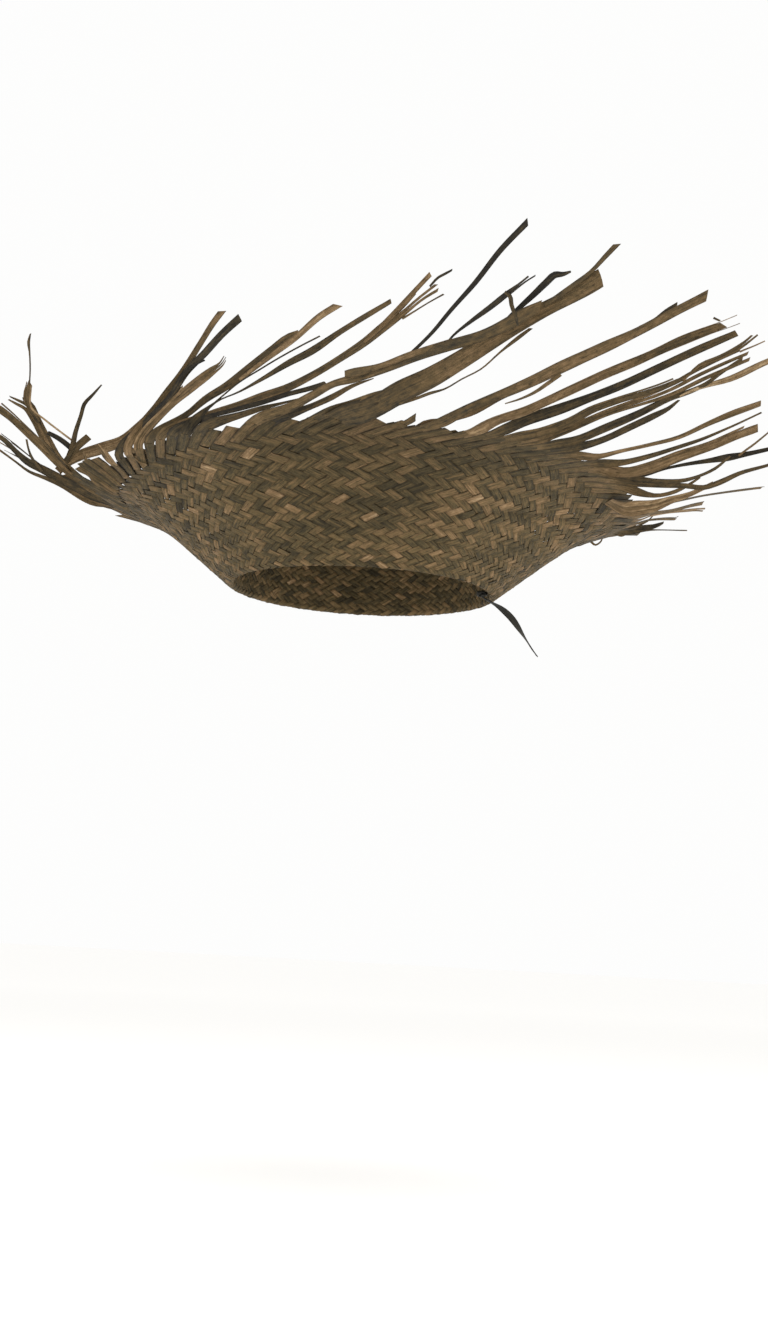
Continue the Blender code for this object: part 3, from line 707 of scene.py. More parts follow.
# Leaf ends of the front and the sides. Each entry is "name parent colour end: points":
# parent is the leaf it is split from, or -, and each point is x y z width, in millimetres
# from the centre of the head line.
BLADES = """
m1 - brown cut: -166 -94 75 4.7, -155 -104 88 5.4, -141 -115 102 5.3, -128 -127 118 4.6,
 -115 -141 137 4.0, -107 -150 148 3.9, -101 -155 155 3.9;
m1l - light point: -163 -98 76 1.3, -155 -106 85 1.7, -141 -116 97 2.0, -126 -127 110 1.7;
m2 - dark cut: -160 -102 76 2.7, -148 -113 91 3.3, -134 -123 104 4.0, -124 -132 119 4.6,
 -112 -141 130 5.3, -101 -149 141 5.2, -89 -157 151 5.2;
m2b m2 black point: -128 -130 112 1.3, -123 -134 119 2.6, -117 -137 123 2.0, -111 -140 125 1.0;
m3 - brown torn: -156 -108 76 2.7, -146 -115 86 4.0, -134 -124 97 5.3, -119 -133 109 6.6,
 -106 -141 118 5.9, -100 -145 122 3.3, -97 -148 126 1.3;
m4 - dark cut: -149 -118 78 3.3, -133 -127 86 3.3, -119 -134 92 4.0, -110 -140 99 4.6,
 -95 -149 107 5.2, -80 -158 117 5.8, -65 -168 127 6.5, -55 -174 134 6.4, -50 -177 136 5.1;
m4b m4 tan2 cut: -87 -154 110 2.6, -68 -166 123 3.2, -51 -177 134 3.9, -36 -187 146 4.5,
 -25 -194 152 4.5;
m5 - dark cut: -139 -131 80 2.6, -122 -140 87 2.0, -112 -144 89 1.6, -102 -150 95 1.3,
 -86 -159 101 1.3, -72 -167 108 2.6, -54 -177 118 4.5, -41 -184 124 5.1, -23 -195 135 3.8,
 -8 -205 143 3.8, 8 -214 151 3.1;
m5b m5 dark point: -102 -151 95 1.0, -86 -161 107 1.0, -72 -170 114 1.0, -48 -183 126 1.0,
 -35 -190 132 1.0;
m7 - brown torn: -145 -123 78 3.3, -126 -131 83 4.0, -106 -141 89 4.6, -86 -150 94 5.2,
 -72 -157 98 5.8, -53 -166 104 5.2, -38 -174 111 4.5, -22 -183 120 4.5, -7 -192 129 5.1,
 5 -200 138 5.7, 16 -207 146 5.7, 26 -214 154 5.0, 36 -220 161 5.0;
m7b m7 tan cut: -7 -193 129 1.9, 5 -201 140 3.2, 14 -208 149 3.1, 23 -215 158 2.8,
 32 -222 167 2.8;
m7c m7 black point: 32 -219 160 1.3, 37 -223 165 1.6, 41 -225 167 1.6, 45 -227 169 1.2;
m7d m7 olive point: 16 -206 142 1.3, 27 -212 148 0.9, 33 -216 151 0.9, 41 -220 155 1.1;
m8 - black cut: -128 -141 78 2.6, -108 -151 84 3.3, -85 -162 89 3.2, -71 -169 92 3.2,
 -53 -178 97 3.2, -39 -184 100 3.2, -30 -189 102 3.2;
m9 - olive point: -112 -155 78 3.9, -94 -164 80 3.9, -81 -170 84 3.9, -70 -175 87 3.2,
 -59 -181 89 1.9, -45 -187 92 1.0;
m10 - brown2 cut: -72 -176 71 6.4, -61 -185 77 6.4, -49 -195 85 5.7, -36 -204 91 5.0,
 -24 -213 96 4.4, -13 -219 98 5.6, 4 -230 102 6.2, 22 -242 107 6.1, 45 -258 112 6.7,
 63 -269 116 6.6, 77 -279 121 7.2, 88 -288 126 7.1, 96 -294 129 5.9;
m10b m10 brown point: -18 -219 101 3.7, -15 -221 101 5.0, 4 -232 104 3.7, 22 -244 109 3.7,
 45 -259 114 3.6;
m12 - dark point: -60 -181 74 3.8, -48 -188 80 3.8, -38 -195 85 3.8, -25 -202 90 3.8,
 -13 -209 96 2.5, 0 -216 100 0.6;
m13 - olive point: -44 -186 75 4.4, -29 -193 79 4.4, -20 -199 83 4.4, -13 -203 87 3.1,
 1 -211 92 1.6, 15 -218 95 0.6;
m14 - brown3 cut: -23 -189 73 12.7, -12 -197 78 13.9, 2 -208 84 14.4, 17 -220 91 14.3,
 35 -233 98 12.9, 52 -248 106 11.6, 69 -262 115 10.9, 83 -274 122 10.2, 99 -288 129 8.9,
 113 -299 135 9.4, 123 -307 140 10.6, 129 -312 143 10.5;
m15 m14 dark2 cut: 99 -290 131 2.4, 108 -298 136 3.0, 116 -305 141 2.9, 123 -312 146 2.6,
 130 -321 153 2.9, 136 -327 159 2.9;
m16 m10 black cut: 16 -236 108 1.5, 19 -239 108 1.7, 23 -243 111 1.8, 34 -256 120 2.1,
 44 -268 131 2.4, 57 -285 144 3.0, 70 -303 159 3.2, 84 -321 171 3.5;
m17 m10 black torn: 39 -252 112 1.2, 43 -256 114 1.3, 47 -260 118 1.5, 56 -269 124 2.4,
 67 -279 131 3.3, 76 -288 137 3.6, 83 -295 141 2.4, 91 -302 146 1.8;
m17b m17 black cut: 75 -289 138 1.8, 78 -291 135 2.4, 79 -294 129 2.4, 82 -297 120 1.8,
 83 -300 115 1.2;
m18 m14 black point: 70 -262 118 1.8, 74 -266 121 2.1, 78 -271 126 2.4, 85 -278 132 3.0,
 93 -286 138 3.6, 100 -293 144 4.1, 104 -297 147 4.1, 108 -299 147 3.0, 113 -303 148 1.2;
m19 m14 olive point: 17 -218 84 1.9, 28 -224 87 1.9, 35 -229 89 1.9, 44 -234 91 1.1,
 54 -241 96 0.9, 65 -248 101 0.9, 76 -257 110 1.2, 87 -266 118 2.4, 93 -271 122 1.8;
m20 - brown cut: 27 -189 78 4.4, 38 -197 82 5.1, 49 -204 84 5.0, 64 -213 87 5.6,
 79 -223 92 5.6, 96 -235 98 6.2, 113 -247 105 7.3, 136 -263 114 6.6, 157 -279 122 5.4,
 179 -296 132 5.3, 193 -306 138 5.9;
m20b m20 dark cut: 157 -280 124 1.2, 164 -285 127 1.2, 171 -290 132 1.8, 177 -295 135 1.8;
m20c m20 olive point: 114 -247 101 2.4, 106 -250 94 2.4, 98 -254 87 1.8, 90 -257 82 1.2,
 80 -262 77 0.6;
m20d - tan point: 35 -187 78 3.8, 47 -194 81 3.8, 62 -202 85 4.4, 80 -213 93 3.1,
 91 -220 97 2.5;
m21 - tan3 torn: 54 -183 80 4.5, 69 -191 80 5.1, 81 -197 83 5.7, 96 -206 87 5.7,
 111 -215 93 5.6, 128 -225 100 5.6, 140 -232 105 5.6, 162 -246 113 5.5, 184 -260 122 5.5,
 201 -270 128 5.4, 208 -275 130 5.4, 216 -279 133 5.4;
m21b m21 olive cut: 202 -274 134 1.5, 206 -275 132 1.2;
m22 - dark cut: 67 -178 80 5.1, 85 -187 82 6.4, 100 -195 85 7.0, 118 -205 90 6.9,
 136 -215 96 5.6, 153 -225 102 5.0, 176 -238 112 4.9, 198 -252 121 4.9, 218 -264 128 4.2;
m23 - olive cut: 80 -171 76 5.1, 96 -179 77 5.8, 111 -186 80 5.7, 126 -194 85 5.7,
 137 -201 91 5.0, 152 -209 96 4.4, 167 -217 100 4.4, 178 -223 103 4.4, 191 -230 108 3.7;
m24 - olive2 torn: 94 -163 73 5.8, 104 -168 75 5.8, 112 -172 78 5.8, 122 -177 82 5.1,
 133 -183 86 4.5, 148 -191 92 4.4, 169 -202 99 5.7, 186 -211 105 6.9, 203 -221 113 7.5,
 217 -228 119 7.4, 230 -236 124 6.8;
m24b m24 olive2 torn: 193 -217 109 1.2, 202 -224 118 1.9, 214 -230 122 3.1, 228 -238 130 3.1,
 234 -243 135 2.5;
m24c m24 tan point: 225 -235 125 1.2, 232 -238 128 0.9, 239 -242 131 0.7;
m25 - dark point: 111 -151 74 5.2, 124 -157 78 4.5, 136 -162 82 5.2, 148 -168 87 5.2,
 172 -180 97 4.5, 189 -189 105 3.8, 201 -194 109 3.2, 210 -199 113 2.5, 218 -204 119 2.2,
 231 -211 128 1.9;
m26 m25 light cut: 195 -192 106 1.3, 207 -197 111 2.5, 225 -204 116 3.8, 247 -214 126 3.8,
 265 -221 132 3.1, 278 -226 136 2.5;
m27 - dark point: 117 -145 73 5.2, 127 -150 75 4.6, 137 -154 78 4.6, 149 -159 82 4.5,
 167 -168 90 4.5, 182 -175 97 3.9, 190 -179 101 2.6, 196 -182 106 1.3;
m28 - brown cut: 126 -136 72 5.3, 138 -141 73 4.6, 151 -145 75 3.3, 163 -149 78 2.3,
 182 -156 82 2.3, 200 -163 86 2.6, 218 -171 94 3.2, 233 -177 101 3.9, 248 -184 107 3.2;
m29 - olive point: 145 -114 72 4.7, 157 -118 74 4.0, 170 -123 77 4.0, 186 -128 81 3.3,
 205 -135 87 2.6, 217 -140 91 2.0, 235 -147 99 1.3, 254 -155 108 1.0;
m30 - tan3 cut: 144 -110 65 5.4, 158 -115 68 6.0, 174 -120 71 6.7, 187 -124 74 7.3,
 205 -131 81 7.3, 224 -137 88 6.6, 242 -144 96 6.6, 253 -148 100 7.2;
m31 - black point: 178 -76 77 2.7, 189 -79 79 2.7, 202 -83 83 2.0, 215 -86 86 2.4,
 232 -90 89 3.4, 243 -93 91 4.8, 254 -97 93 3.4, 270 -101 97 2.7, 289 -107 102 2.7,
 307 -112 107 2.0;
m31b m31 olive point: 250 -96 92 1.4, 257 -100 98 1.4, 269 -105 108 1.0;
m32 - dark point: 150 -101 64 4.7, 163 -104 64 4.7, 179 -107 67 4.0, 195 -111 68 3.3,
 212 -114 69 2.7, 221 -116 72 2.0, 231 -119 77 2.0, 240 -123 85 1.3;
m33 - dark2 point: 155 -91 63 5.4, 168 -93 63 5.4, 184 -96 67 4.7, 200 -99 68 3.4,
 214 -101 68 3.4, 226 -103 67 3.4, 237 -105 71 4.0, 249 -108 77 2.7, 265 -112 82 2.0,
 285 -116 89 1.7, 297 -118 92 1.0;
m34 - brown2 point: 159 -84 61 5.4, 172 -85 61 4.8, 185 -87 61 3.4, 199 -89 63 2.7,
 209 -90 66 2.7, 218 -92 71 2.0, 225 -94 76 1.4;
m35 - tan3 torn: 167 -57 58 13.2, 179 -58 59 12.5, 189 -59 60 10.4, 199 -60 62 8.3,
 209 -62 66 5.5, 223 -63 71 3.5, 233 -65 76 2.8, 241 -66 80 2.1;
m36 - black point: 184 38 67 4.4, 193 38 66 3.7, 202 38 65 3.7, 209 38 66 3.7,
 215 37 68 2.9, 219 37 70 1.5;
m37 - olive point: 182 49 66 3.0, 196 49 65 1.9, 211 49 66 1.3, 238 48 67 0.9;
l1 - tan3 cut: -182 73 57 9.0, -195 70 67 10.5, -210 67 78 11.2, -223 64 87 9.7;
l1b l1 tan3 point: -231 63 88 6.0, -225 61 94 6.7, -215 59 100 8.2, -200 56 105 8.2,
 -184 53 111 7.4, -171 49 124 4.4, -157 44 141 2.2;
l2 - brown torn: -186 33 65 5.8, -203 32 74 5.8, -217 30 81 6.6, -227 28 89 7.3,
 -237 26 104 7.3, -245 23 118 7.3, -251 22 127 8.7, -258 21 130 6.6, -264 20 132 2.9;
l2b l2 brown cut: -242 23 115 3.6, -249 21 125 4.4, -252 20 133 5.1, -250 18 143 5.1;
l2c l2 dark point: -250 19 141 1.1, -250 17 152 1.1, -251 14 165 1.3, -252 13 172 2.2,
 -251 12 178 0.9;
l3 - brown2 cut: -187 12 66 5.8, -204 11 72 5.1, -221 10 81 5.8, -236 8 94 6.5,
 -249 6 105 6.5, -260 5 114 6.5, -269 4 120 7.2;
l4 - dark point: -184 55 61 5.9, -205 55 69 6.7, -226 54 80 6.7, -241 54 87 5.9,
 -253 53 92 5.2, -262 53 99 3.7, -270 52 106 3.7, -276 52 110 3.0;
l5 - olive point: -186 55 58 4.4, -208 56 67 5.2, -228 56 77 3.7, -239 56 81 3.0,
 -251 56 85 2.2, -262 56 92 1.5, -276 56 101 1.5;
l6 l3 dark point: -218 8 84 2.9, -214 6 94 4.3, -212 3 105 3.6, -209 1 117 2.9,
 -207 -1 125 2.9, -201 -3 132 2.2, -195 -5 139 1.1;
l7 l3 black cut: -214 7 93 3.6, -223 5 100 3.6, -232 4 104 2.9;
l8 l3 olive cut: -218 8 84 4.3, -210 6 95 5.0, -202 3 102 5.0;
l9 l4 dark point: -241 53 85 2.2, -248 52 93 2.2, -252 51 101 1.5, -254 50 108 1.5;
l10 l3 tan point: -214 6 99 1.4, -223 6 105 1.4, -235 5 113 1.4, -245 4 121 1.4,
 -246 2 137 1.1;
n1 - brown torn: -173 -67 64 3.4, -179 -68 72 2.7, -183 -69 77 2.1, -186 -70 80 1.0;
n2 - tan point: -187 -20 63 3.5, -194 -21 71 2.8, -200 -22 79 2.1, -202 -23 85 1.1"""
# Thin strands that hang off the edge at the right: "name colour: points".
WISPS = """
wisp_1 olive: 166 97 67 1.9, 171 97 65 2.0, 176 98 62 1.5, 180 97 65 1.2, 181 97 70 0.9;
wisp_2 olive: 178 66 67 2.2, 185 66 66 1.9, 192 66 64 1.6, 198 66 68 1.3, 205 65 70 0.9;
wisp_3 dark: 188 34 63 1.5, 198 33 65 1.2, 207 33 70 1.0, 212 32 76 0.7"""

TONES = {"black": 0.05, "dark": 0.23, "dark2": 0.29, "olive": 0.37, "olive2": 0.47,
         "brown": 0.48, "brown2": 0.43, "brown3": 0.38, "tan": 0.64, "tan2": 0.70,
         "tan3": 0.63, "light": 0.84}
# Least half width at the root of the broad blades.
WIDE_ROOT = {"m14": 0.0085, "l1": 0.0062, "m30": 0.0040, "m10": 0.0042, "m24": 0.0040}
# Blades that replace a chosen leaf of the frame, not the nearest.
BODY_OF = {"n1": "left_5", "n2": "left_4", "m32": "right_1", "m33": "right_2",
           "m34": "right_3", "m35": "right_4", "m36": "right_5", "m37": "right_6"}
# Strands of a blade: from and to (-1..1 of its width), share of the length where the strand
# comes away, how far it strays sideways and along the normal, share of the length it reaches.
WHOLE = [(-1.0, 1.0, 0.95, 0.0, 0.0, 1.0)]
SPLITS = {"m14": WHOLE, "m20": WHOLE,
          "m21": [(-1.0, -0.84, 0.90, -0.0005, 0.002, 0.985),
                  (-0.84, 0.84, 0.92, 0.0, 0.0, 0.945), (0.84, 1.0, 0.90, 0.0005, 0.001, 1.0)],
          "m24": [(-1.0, -0.35, 0.55, -0.012, 0.006, 0.96),
                  (-0.35, 0.3, 0.6, 0.0, 0.0, 0.99), (0.3, 1.0, 0.5, 0.010, -0.008, 1.0)]}
BEHIND = {"m1l", "m20d", "m31", "m36"}      # come up from the upper side of the edge
OVER = {"m35"}                              # starts on the under side of the brim
# Frame leaves made smaller: share of the length kept.
SHORT = {"front_7": 0.05, "back_left_1": 0.60, "back_left_2": 0.28}
SHORT_WIDTH = 0.6
GAP = 0.0003               # half the gap between the edge and the frame's leaves
PATH_STEP = 0.0045         # spacing of the rings of a leaf end
VIEW = np.array([0.0, 0.987, 0.160])      # the broad side of the leaves faces this way


def read_leaves():
    """Name of each frame leaf: its eight numbers, kind of end and colour."""
    leaves = {}
    for sector, text in FRINGE.items():
        for number, row in enumerate(text.split(","), 1):
            *values, tip, colour = row.split()
            leaves["%s_%d" % (sector, number)] = ([float(v) for v in values], tip, colour)
    return leaves


def read_blades(text):
    """Words before each colon, then the path and its widths in metres."""
    blades = []
    for entry in text.split(";"):
        head, _, points = entry.partition(":")
        points = np.array([[float(v) for v in point.split()]
                           for point in points.split(",")]) / 1000.0
        blades.append((*head.split(), points[:, :3] + CENTRE, points[:, 3]))
    return blades


LEAVES = read_leaves()
BLADE_ROWS = read_blades(BLADES)

# ------------------------------------------------------------- leaf end shapes
Exit = namedtuple("Exit", "point heading across half_width tone")


def exit_of(i):
    """Where strip i of family 0 leaves the edge."""
    top, bottom, _, tone = strip(0, i, np.array([X_RIM - 0.06, X_RIM]))
    middle = (top + bottom) / 2
    heading = unit(middle[1, 1] - middle[0, 1])
    across = reject(middle[1, 0] - middle[1, 2], heading)
    return Exit(middle[1, 1], heading, unit(across), np.linalg.norm(across) / 2,
                float(tone[1, 1, 0]))


EXITS = [exit_of(i) for i in range(STRIPS)]
EXIT_POINTS = np.array([leaving.point for leaving in EXITS])


def edge_frame(phi):
    """Point of the edge, its tangent, the uphill direction and the normal."""
    points, normals = surf(phi + np.array([0.0, 0.01, -0.01]), np.full(3, D_RIM))
    tangent = unit(points[1] - points[2])
    normal = unit(reject(normals[0], tangent))
    uphill = np.cross(tangent, normal)
    if uphill[2] < 0:
        uphill = -uphill
    return points[0], tangent, uphill, normal


def rotate(first, second, angle):
    return (first * math.cos(angle) + second * math.sin(angle),
            second * math.cos(angle) - first * math.sin(angle))


def leaf_path(phi, length, width, lean, lift, bend, sideways, twist):
    """Middle line and width directions of a frame leaf, bending evenly."""
    steps = max(10, int(length / PATH_STEP))
    lean, lift = math.radians(lean), math.radians(lift)
    bend, sideways, twist = (math.radians(v) / steps / 2 for v in (bend, sideways, twist))
    point, tangent, uphill, normal = edge_frame(math.radians(phi))
    heading = tangent * math.cos(lean) + uphill * math.sin(lean)
    across = uphill * math.cos(lean) - tangent * math.sin(lean)
    point = point + uphill * (2 * GAP + width / 2 * math.cos(lean))
    heading, normal = rotate(heading, normal, lift)
    path, directions = [point], [across]
    for _ in range(steps):
        for half in (0, 1):
            heading, normal = rotate(heading, normal, bend)
            heading, across = rotate(heading, across, sideways)
            across, normal = rotate(across, normal, twist)
            if half == 0:
                point = point + heading * (length / steps)
        path.append(point)
        directions.append(across)
    return np.array(path), np.array(directions)


def hermite(t, start, end, start_slope, end_slope):
    return ((2 * t ** 3 - 3 * t ** 2 + 1) * start + (t ** 3 - 2 * t ** 2 + t) * start_slope
            + (-2 * t ** 3 + 3 * t ** 2) * end + (t ** 3 - t ** 2) * end_slope)


def resample(path, widths, step=PATH_STEP):
    """Smooth curve through the points, in even steps, with its widths."""
    stops = np.hstack([path, widths[:, None]])
    stops = np.vstack([2 * stops[0] - stops[1], stops, 2 * stops[-1] - stops[-2]])
    out = []
    for k in range(len(path) - 1):
        before, start, end, after = stops[k:k + 4]
        into, here, onward = (max(1e-5, np.linalg.norm((b - a)[:3])) for a, b in
                              ((before, start), (start, end), (end, after)))
        start_slope = ((end - start) / here * into
                       + (start - before) / into * here) / (into + here) * here
        end_slope = ((after - end) / onward * here
                     + (end - start) / here * onward) / (here + onward) * here
        t = np.linspace(0, 1, max(3, int(round(here / step))) + 1)[:-1][:, None]
        out.append(hermite(t, start, end, start_slope, end_slope))
    out = np.vstack(out + [stops[-2:-1]])
    return out[:, :3], out[:, 3]


def facing(path, dist):
    """Width directions that turn the broad side to VIEW, and headings."""
    heading = unit(np.gradient(path, dist, axis=0))
    return unit(np.cross(VIEW[None], heading)), heading


def blade(ribbons, path, across, width, root_tone, tone, strands, rng, fold=0.06,
          wave=0.0006, thick=0.00045, ident=0.0, curl=0.0, root_half=None, ease_length=0.03):
    """One leaf end along the path, made of one or more strands. fold and curl raise the
    middle and the sides, as shares of the width; wave is the size of slow waves."""
    dist = path_length(path)
    length = dist[-1]
    share = dist / length
    heading = unit(np.gradient(path, dist, axis=0))
    across = unit(reject(across, heading))
    normal = np.cross(across, heading)
    if normal[len(normal) // 2] @ VIEW < 0:
        normal = -normal
    tables = rng.normal(0, 1, (6, 31))

    def wander(row, scale):
        return slow_noise(tables[row], dist + 1, scale)

    grow = wave * smooth((share - 0.12) / 0.5)
    path = (path + across * (grow * wander(0, 0.05))[:, None]
            + normal * (1.6 * grow * wander(1, 0.06))[:, None])
    ease = smooth(dist / ease_length)
    half = width / 2 * (1 + 0.04 * wander(2, 0.02))
    if root_half is not None:
        half = root_half * (1 - ease) + half * ease
    mean_width = float(np.mean(width))
    for low, high, split, stray_side, stray_lift, keep in strands:
        end = min(len(share), max(3, int(np.searchsorted(share, keep)) + 1))
        part = share[:end]
        away = (np.clip((part - split) / max(0.05, 1 - split), 0, 1) ** 1.35 * length)[:, None]
        stray = across[:end] * stray_side * away + normal[:end] * stray_lift * away
        columns = np.linspace(-1, 1, 4 if (high - low) > 0.5 else 3)[None, :]
        half_share = (high - low) / 2
        gap = 1 - 0.10 * smooth((part - split) / 0.05) * (len(strands) > 1)
        x = (low + high) / 2 + half_share * columns * gap[:, None]
        ridge = (fold * mean_width * (1 - np.abs(x))
                 * (1 + 0.5 * wander(4, 0.06)[:end])[:, None])
        roll = curl * mean_width * (x ** 2) * smooth((part - 0.3) / 0.6)[:, None]
        # the end is cut at a slant
        slant = rng.uniform(-0.75, 0.75) + (0.5 if rng.random() < 0.5 else -0.5)
        skew = ((slant * columns * half_share * half[end - 1])
                * np.linspace(0, 1, end)[:, None] ** 14)
        middle = (path[:end, None] + across[:end, None] * (x * half[:end, None])[..., None]
                  + normal[:end, None] * (ridge + roll)[..., None]
                  + heading[:end, None] * skew[..., None] + stray[:, None])
        offset = normal[:end, None] * (thick * (1 - 0.3 * columns ** 2) / 2)[..., None]
        strand = layers(x * half[:end, None], dist[:end, None], 13.1 * ident + low)
        ramp_place = (root_tone * (1 - ease[:end]) + tone * ease[:end]
                      + 0.07 * wander(5, 0.05)[:end] + 0.05 * smooth((part - 0.85) / 0.15)
                      + rng.normal(0, 0.03))
        ribbons.add(middle + offset, middle - offset, strand,
                    layers(np.clip(ramp_place, 0.01, 0.99)[:, None], 1.0, np.abs(columns), 0.5))


def ends(tip, width, rng):
    """Strands that give a leaf its cut, torn or pointed end."""
    if tip == "torn":
        count = 3 if width > 0.0045 else 2
        bounds = np.linspace(-1, 1, count + 1)
        bounds[1:-1] += rng.uniform(-0.5, 0.5, count - 1) / count
        return [(low, high, rng.uniform(0.80, 0.9), (low + high) / 2 * rng.uniform(0.006, 0.02),
                 rng.normal(0, 0.012), 1.0 if n == 1 else rng.uniform(0.90, 0.985))
                for n, (low, high) in enumerate(zip(bounds, bounds[1:]))]
    if tip == "cut" and width > 0.0035 and rng.random() < 0.45:
        # a narrow strand comes away at one side
        bound = rng.uniform(0.45, 0.7) * (1 if rng.random() < 0.5 else -1)
        broad, narrow = (-1.0, bound), (bound, 1.0)
        if bound < 0:
            broad, narrow = narrow, broad
        return [(*broad, 0.95, 0.0, 0.0, 1.0),
                (*narrow, rng.uniform(0.7, 0.88), 0.006 if bound > 0 else -0.006,
                 rng.normal(0, 0.008), rng.uniform(0.88, 0.98))]
    return WHOLE


# --------------------------------------------------- which leaf hangs on what
ROOTS = {body: JOINT_AT[body] for body in LEAVES}
first_point = {row[0]: row[4][0] for row in BLADE_ROWS if row[1] == "-"}
NO_EXIT = BEHIND | OVER


def give_exits():
    """Nearest pairs first, give each rooted blade a strip to run out of."""
    taken, exit_for = {}, {}
    pairs = sorted((float(np.linalg.norm(EXIT_POINTS[k] - point)), k, name)
                   for name, point in first_point.items() if name not in NO_EXIT
                   for k in range(STRIPS))
    for _, k, name in pairs:
        if name not in exit_for and k not in taken:
            exit_for[name], taken[k] = k, name
    return taken, exit_for


def give_bodies():
    """The frame leaf that each rooted blade replaces."""
    root_of = {name: point if name in NO_EXIT else EXIT_POINTS[exit_for[name]]
               for name, point in first_point.items()}

    def gap(name, body):
        return float(np.linalg.norm(root_of[name] - ROOTS[body]))

    body_for = {name: BODY_OF.get(name) or min(ROOTS, key=lambda body: gap(name, body))
                for name in root_of}
    # every frame leaf on the front and sides is replaced by a blade if one is close enough
    for body, (values, _, _) in LEAVES.items():
        if 75 < values[0] % 360 < 262 or body in body_for.values():
            continue
        used = list(body_for.values())
        able = [name for name in body_for
                if used.count(body_for[name]) > 1 and name not in BODY_OF]
        able.sort(key=lambda name: gap(name, body))
        if able and gap(able[0], body) < 0.040:
            body_for[able[0]] = body
    return body_for


taken, exit_for = give_exits()
body_for = give_bodies()
colour_of = {row[0]: row[2] for row in BLADE_ROWS}
for k, name in taken.items():
    LEAD[k] = 0.35 * EXITS[k].tone + 0.65 * (TONES[colour_of[name]] + 0.02)
for k in range(STRIPS):
    if k not in LEAD and near(EDGE_AT[k], 0, 100) > 0:
        LEAD[k] = float(RNG.choice([0.24, 0.33, 0.40, 0.47, 0.60]))

for piece, start, end, mat, slot, ragged in (
        ("brim", 0.5, N_EDGE + 0.5, MAT_BRIM, "plaited_brim", 0.0),
        ("crown_side", N_TOP + 0.5, 0.5, MAT_CROWN, "plaited_crown", 0.6)):
    for family, letter in enumerate("ab"):
        thing = plait(piece + "_strips_" + letter, family, start, end, mat, ragged)
        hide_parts(piece)

# ------------------------------------------------------------ leaf ends, built
replaced = set()


def hang(ribbons, name, body, start, heading, colour):
    """Build a leaf end and hide the frame leaf of its body, which it replaces."""
    thing = ribbons.build(name, MAT_LEAF, 60)
    tuple(start)
    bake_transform(thing)
    if body not in replaced:
        replaced.add(body)
        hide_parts("leaf_" + body)


def near_edge(phi, inward, lift=0.0):
    point, normal = surf(np.array([phi]), np.array([D_RIM - inward]), lift)
    return point[0], normal[0]


def root_blade(name, path, widths, tone):
    """Join a blade to the brim: its path, widths, half width and width direction at the
    root, start, heading and tone there."""
    if name not in NO_EXIT:
        leaving = EXITS[exit_for[name]]
        start, heading = leaving.point, leaving.heading
        half = max(WIDE_ROOT.get(name, 0.0), leaving.half_width)
        keep = np.linalg.norm(path - start, axis=1) > 0.026
        keep[0] = False
        keep[-1] = True
        path = np.vstack([start, start + heading * 0.003, path[keep]])
        widths = np.concatenate([[2 * half, 2 * half], widths[keep]])
        return path, widths, half, leaving.across, start, heading, LEAD[exit_for[name]]
    start = path[0].copy()
    phi = math.atan2(start[0], -start[1])
    heading = unit(path[1] - start)
    if name in OVER:
        half = float(widths[0]) / 2
        start, normal = near_edge(phi, 0.010, -0.0018)
        path[0] = start
    else:
        half = min(0.0037, 0.0008 + 0.8 * float(widths[:3].mean()) / 2 * 1.6)
        hidden, normal = near_edge(phi, 0.012, 0.0016)
        _, rim_normal = near_edge(phi, 0.0005)
        path = np.vstack([hidden - heading * 0.008, start + rim_normal * 0.0012, path[1:]])
        widths = np.concatenate([[2 * half, 2 * half], widths[1:]])
    return path, widths, half, unit(np.cross(normal, heading)), start, heading, tone


owner = {}                 # blade: body, start and heading of its root
for number, (name, parent, colour, tip, path, widths) in enumerate(BLADE_ROWS):
    rng = np.random.default_rng(1000 + number)
    rooted = parent == "-"
    root_tone, root_half = TONES[colour], None
    if rooted:
        path, widths, root_half, root_across, start, heading, root_tone = root_blade(
            name, path, widths, root_tone)
        owner[name] = (body_for[name], start, heading)
    else:
        owner[name] = owner[parent]
    path, widths = resample(path, widths)
    dist = path_length(path)
    across, headings = facing(path, dist)
    turn = np.radians(12) * np.clip(slow_noise(rng.normal(0, 1, 13), dist + 0.3, 0.07),
                                    -1.8, 1.8)
    across = (across * np.cos(turn)[:, None]
              + np.cross(across, headings) * np.sin(turn)[:, None])
    widths = widths / np.cos(turn)
    if rooted:
        if root_across @ across[0] <= 0:
            root_across = -root_across
        mix = smooth(dist / 0.035)[:, None]
        across = root_across * (1 - mix) + across * mix
    strands = SPLITS.get(name) or ends(tip, float(widths.mean()), rng)
    ribbons = Ribbons()
    blade(ribbons, path, across, widths, root_tone, TONES[colour] + rng.normal(0, 0.015),
          strands, rng, fold=0.04 + 0.03 * rng.random(), ident=number, root_half=root_half,
          curl=rng.normal(0, 0.03), wave=0.0003)
    hang(ribbons, "leaf_end_" + name, *owner[name], colour)


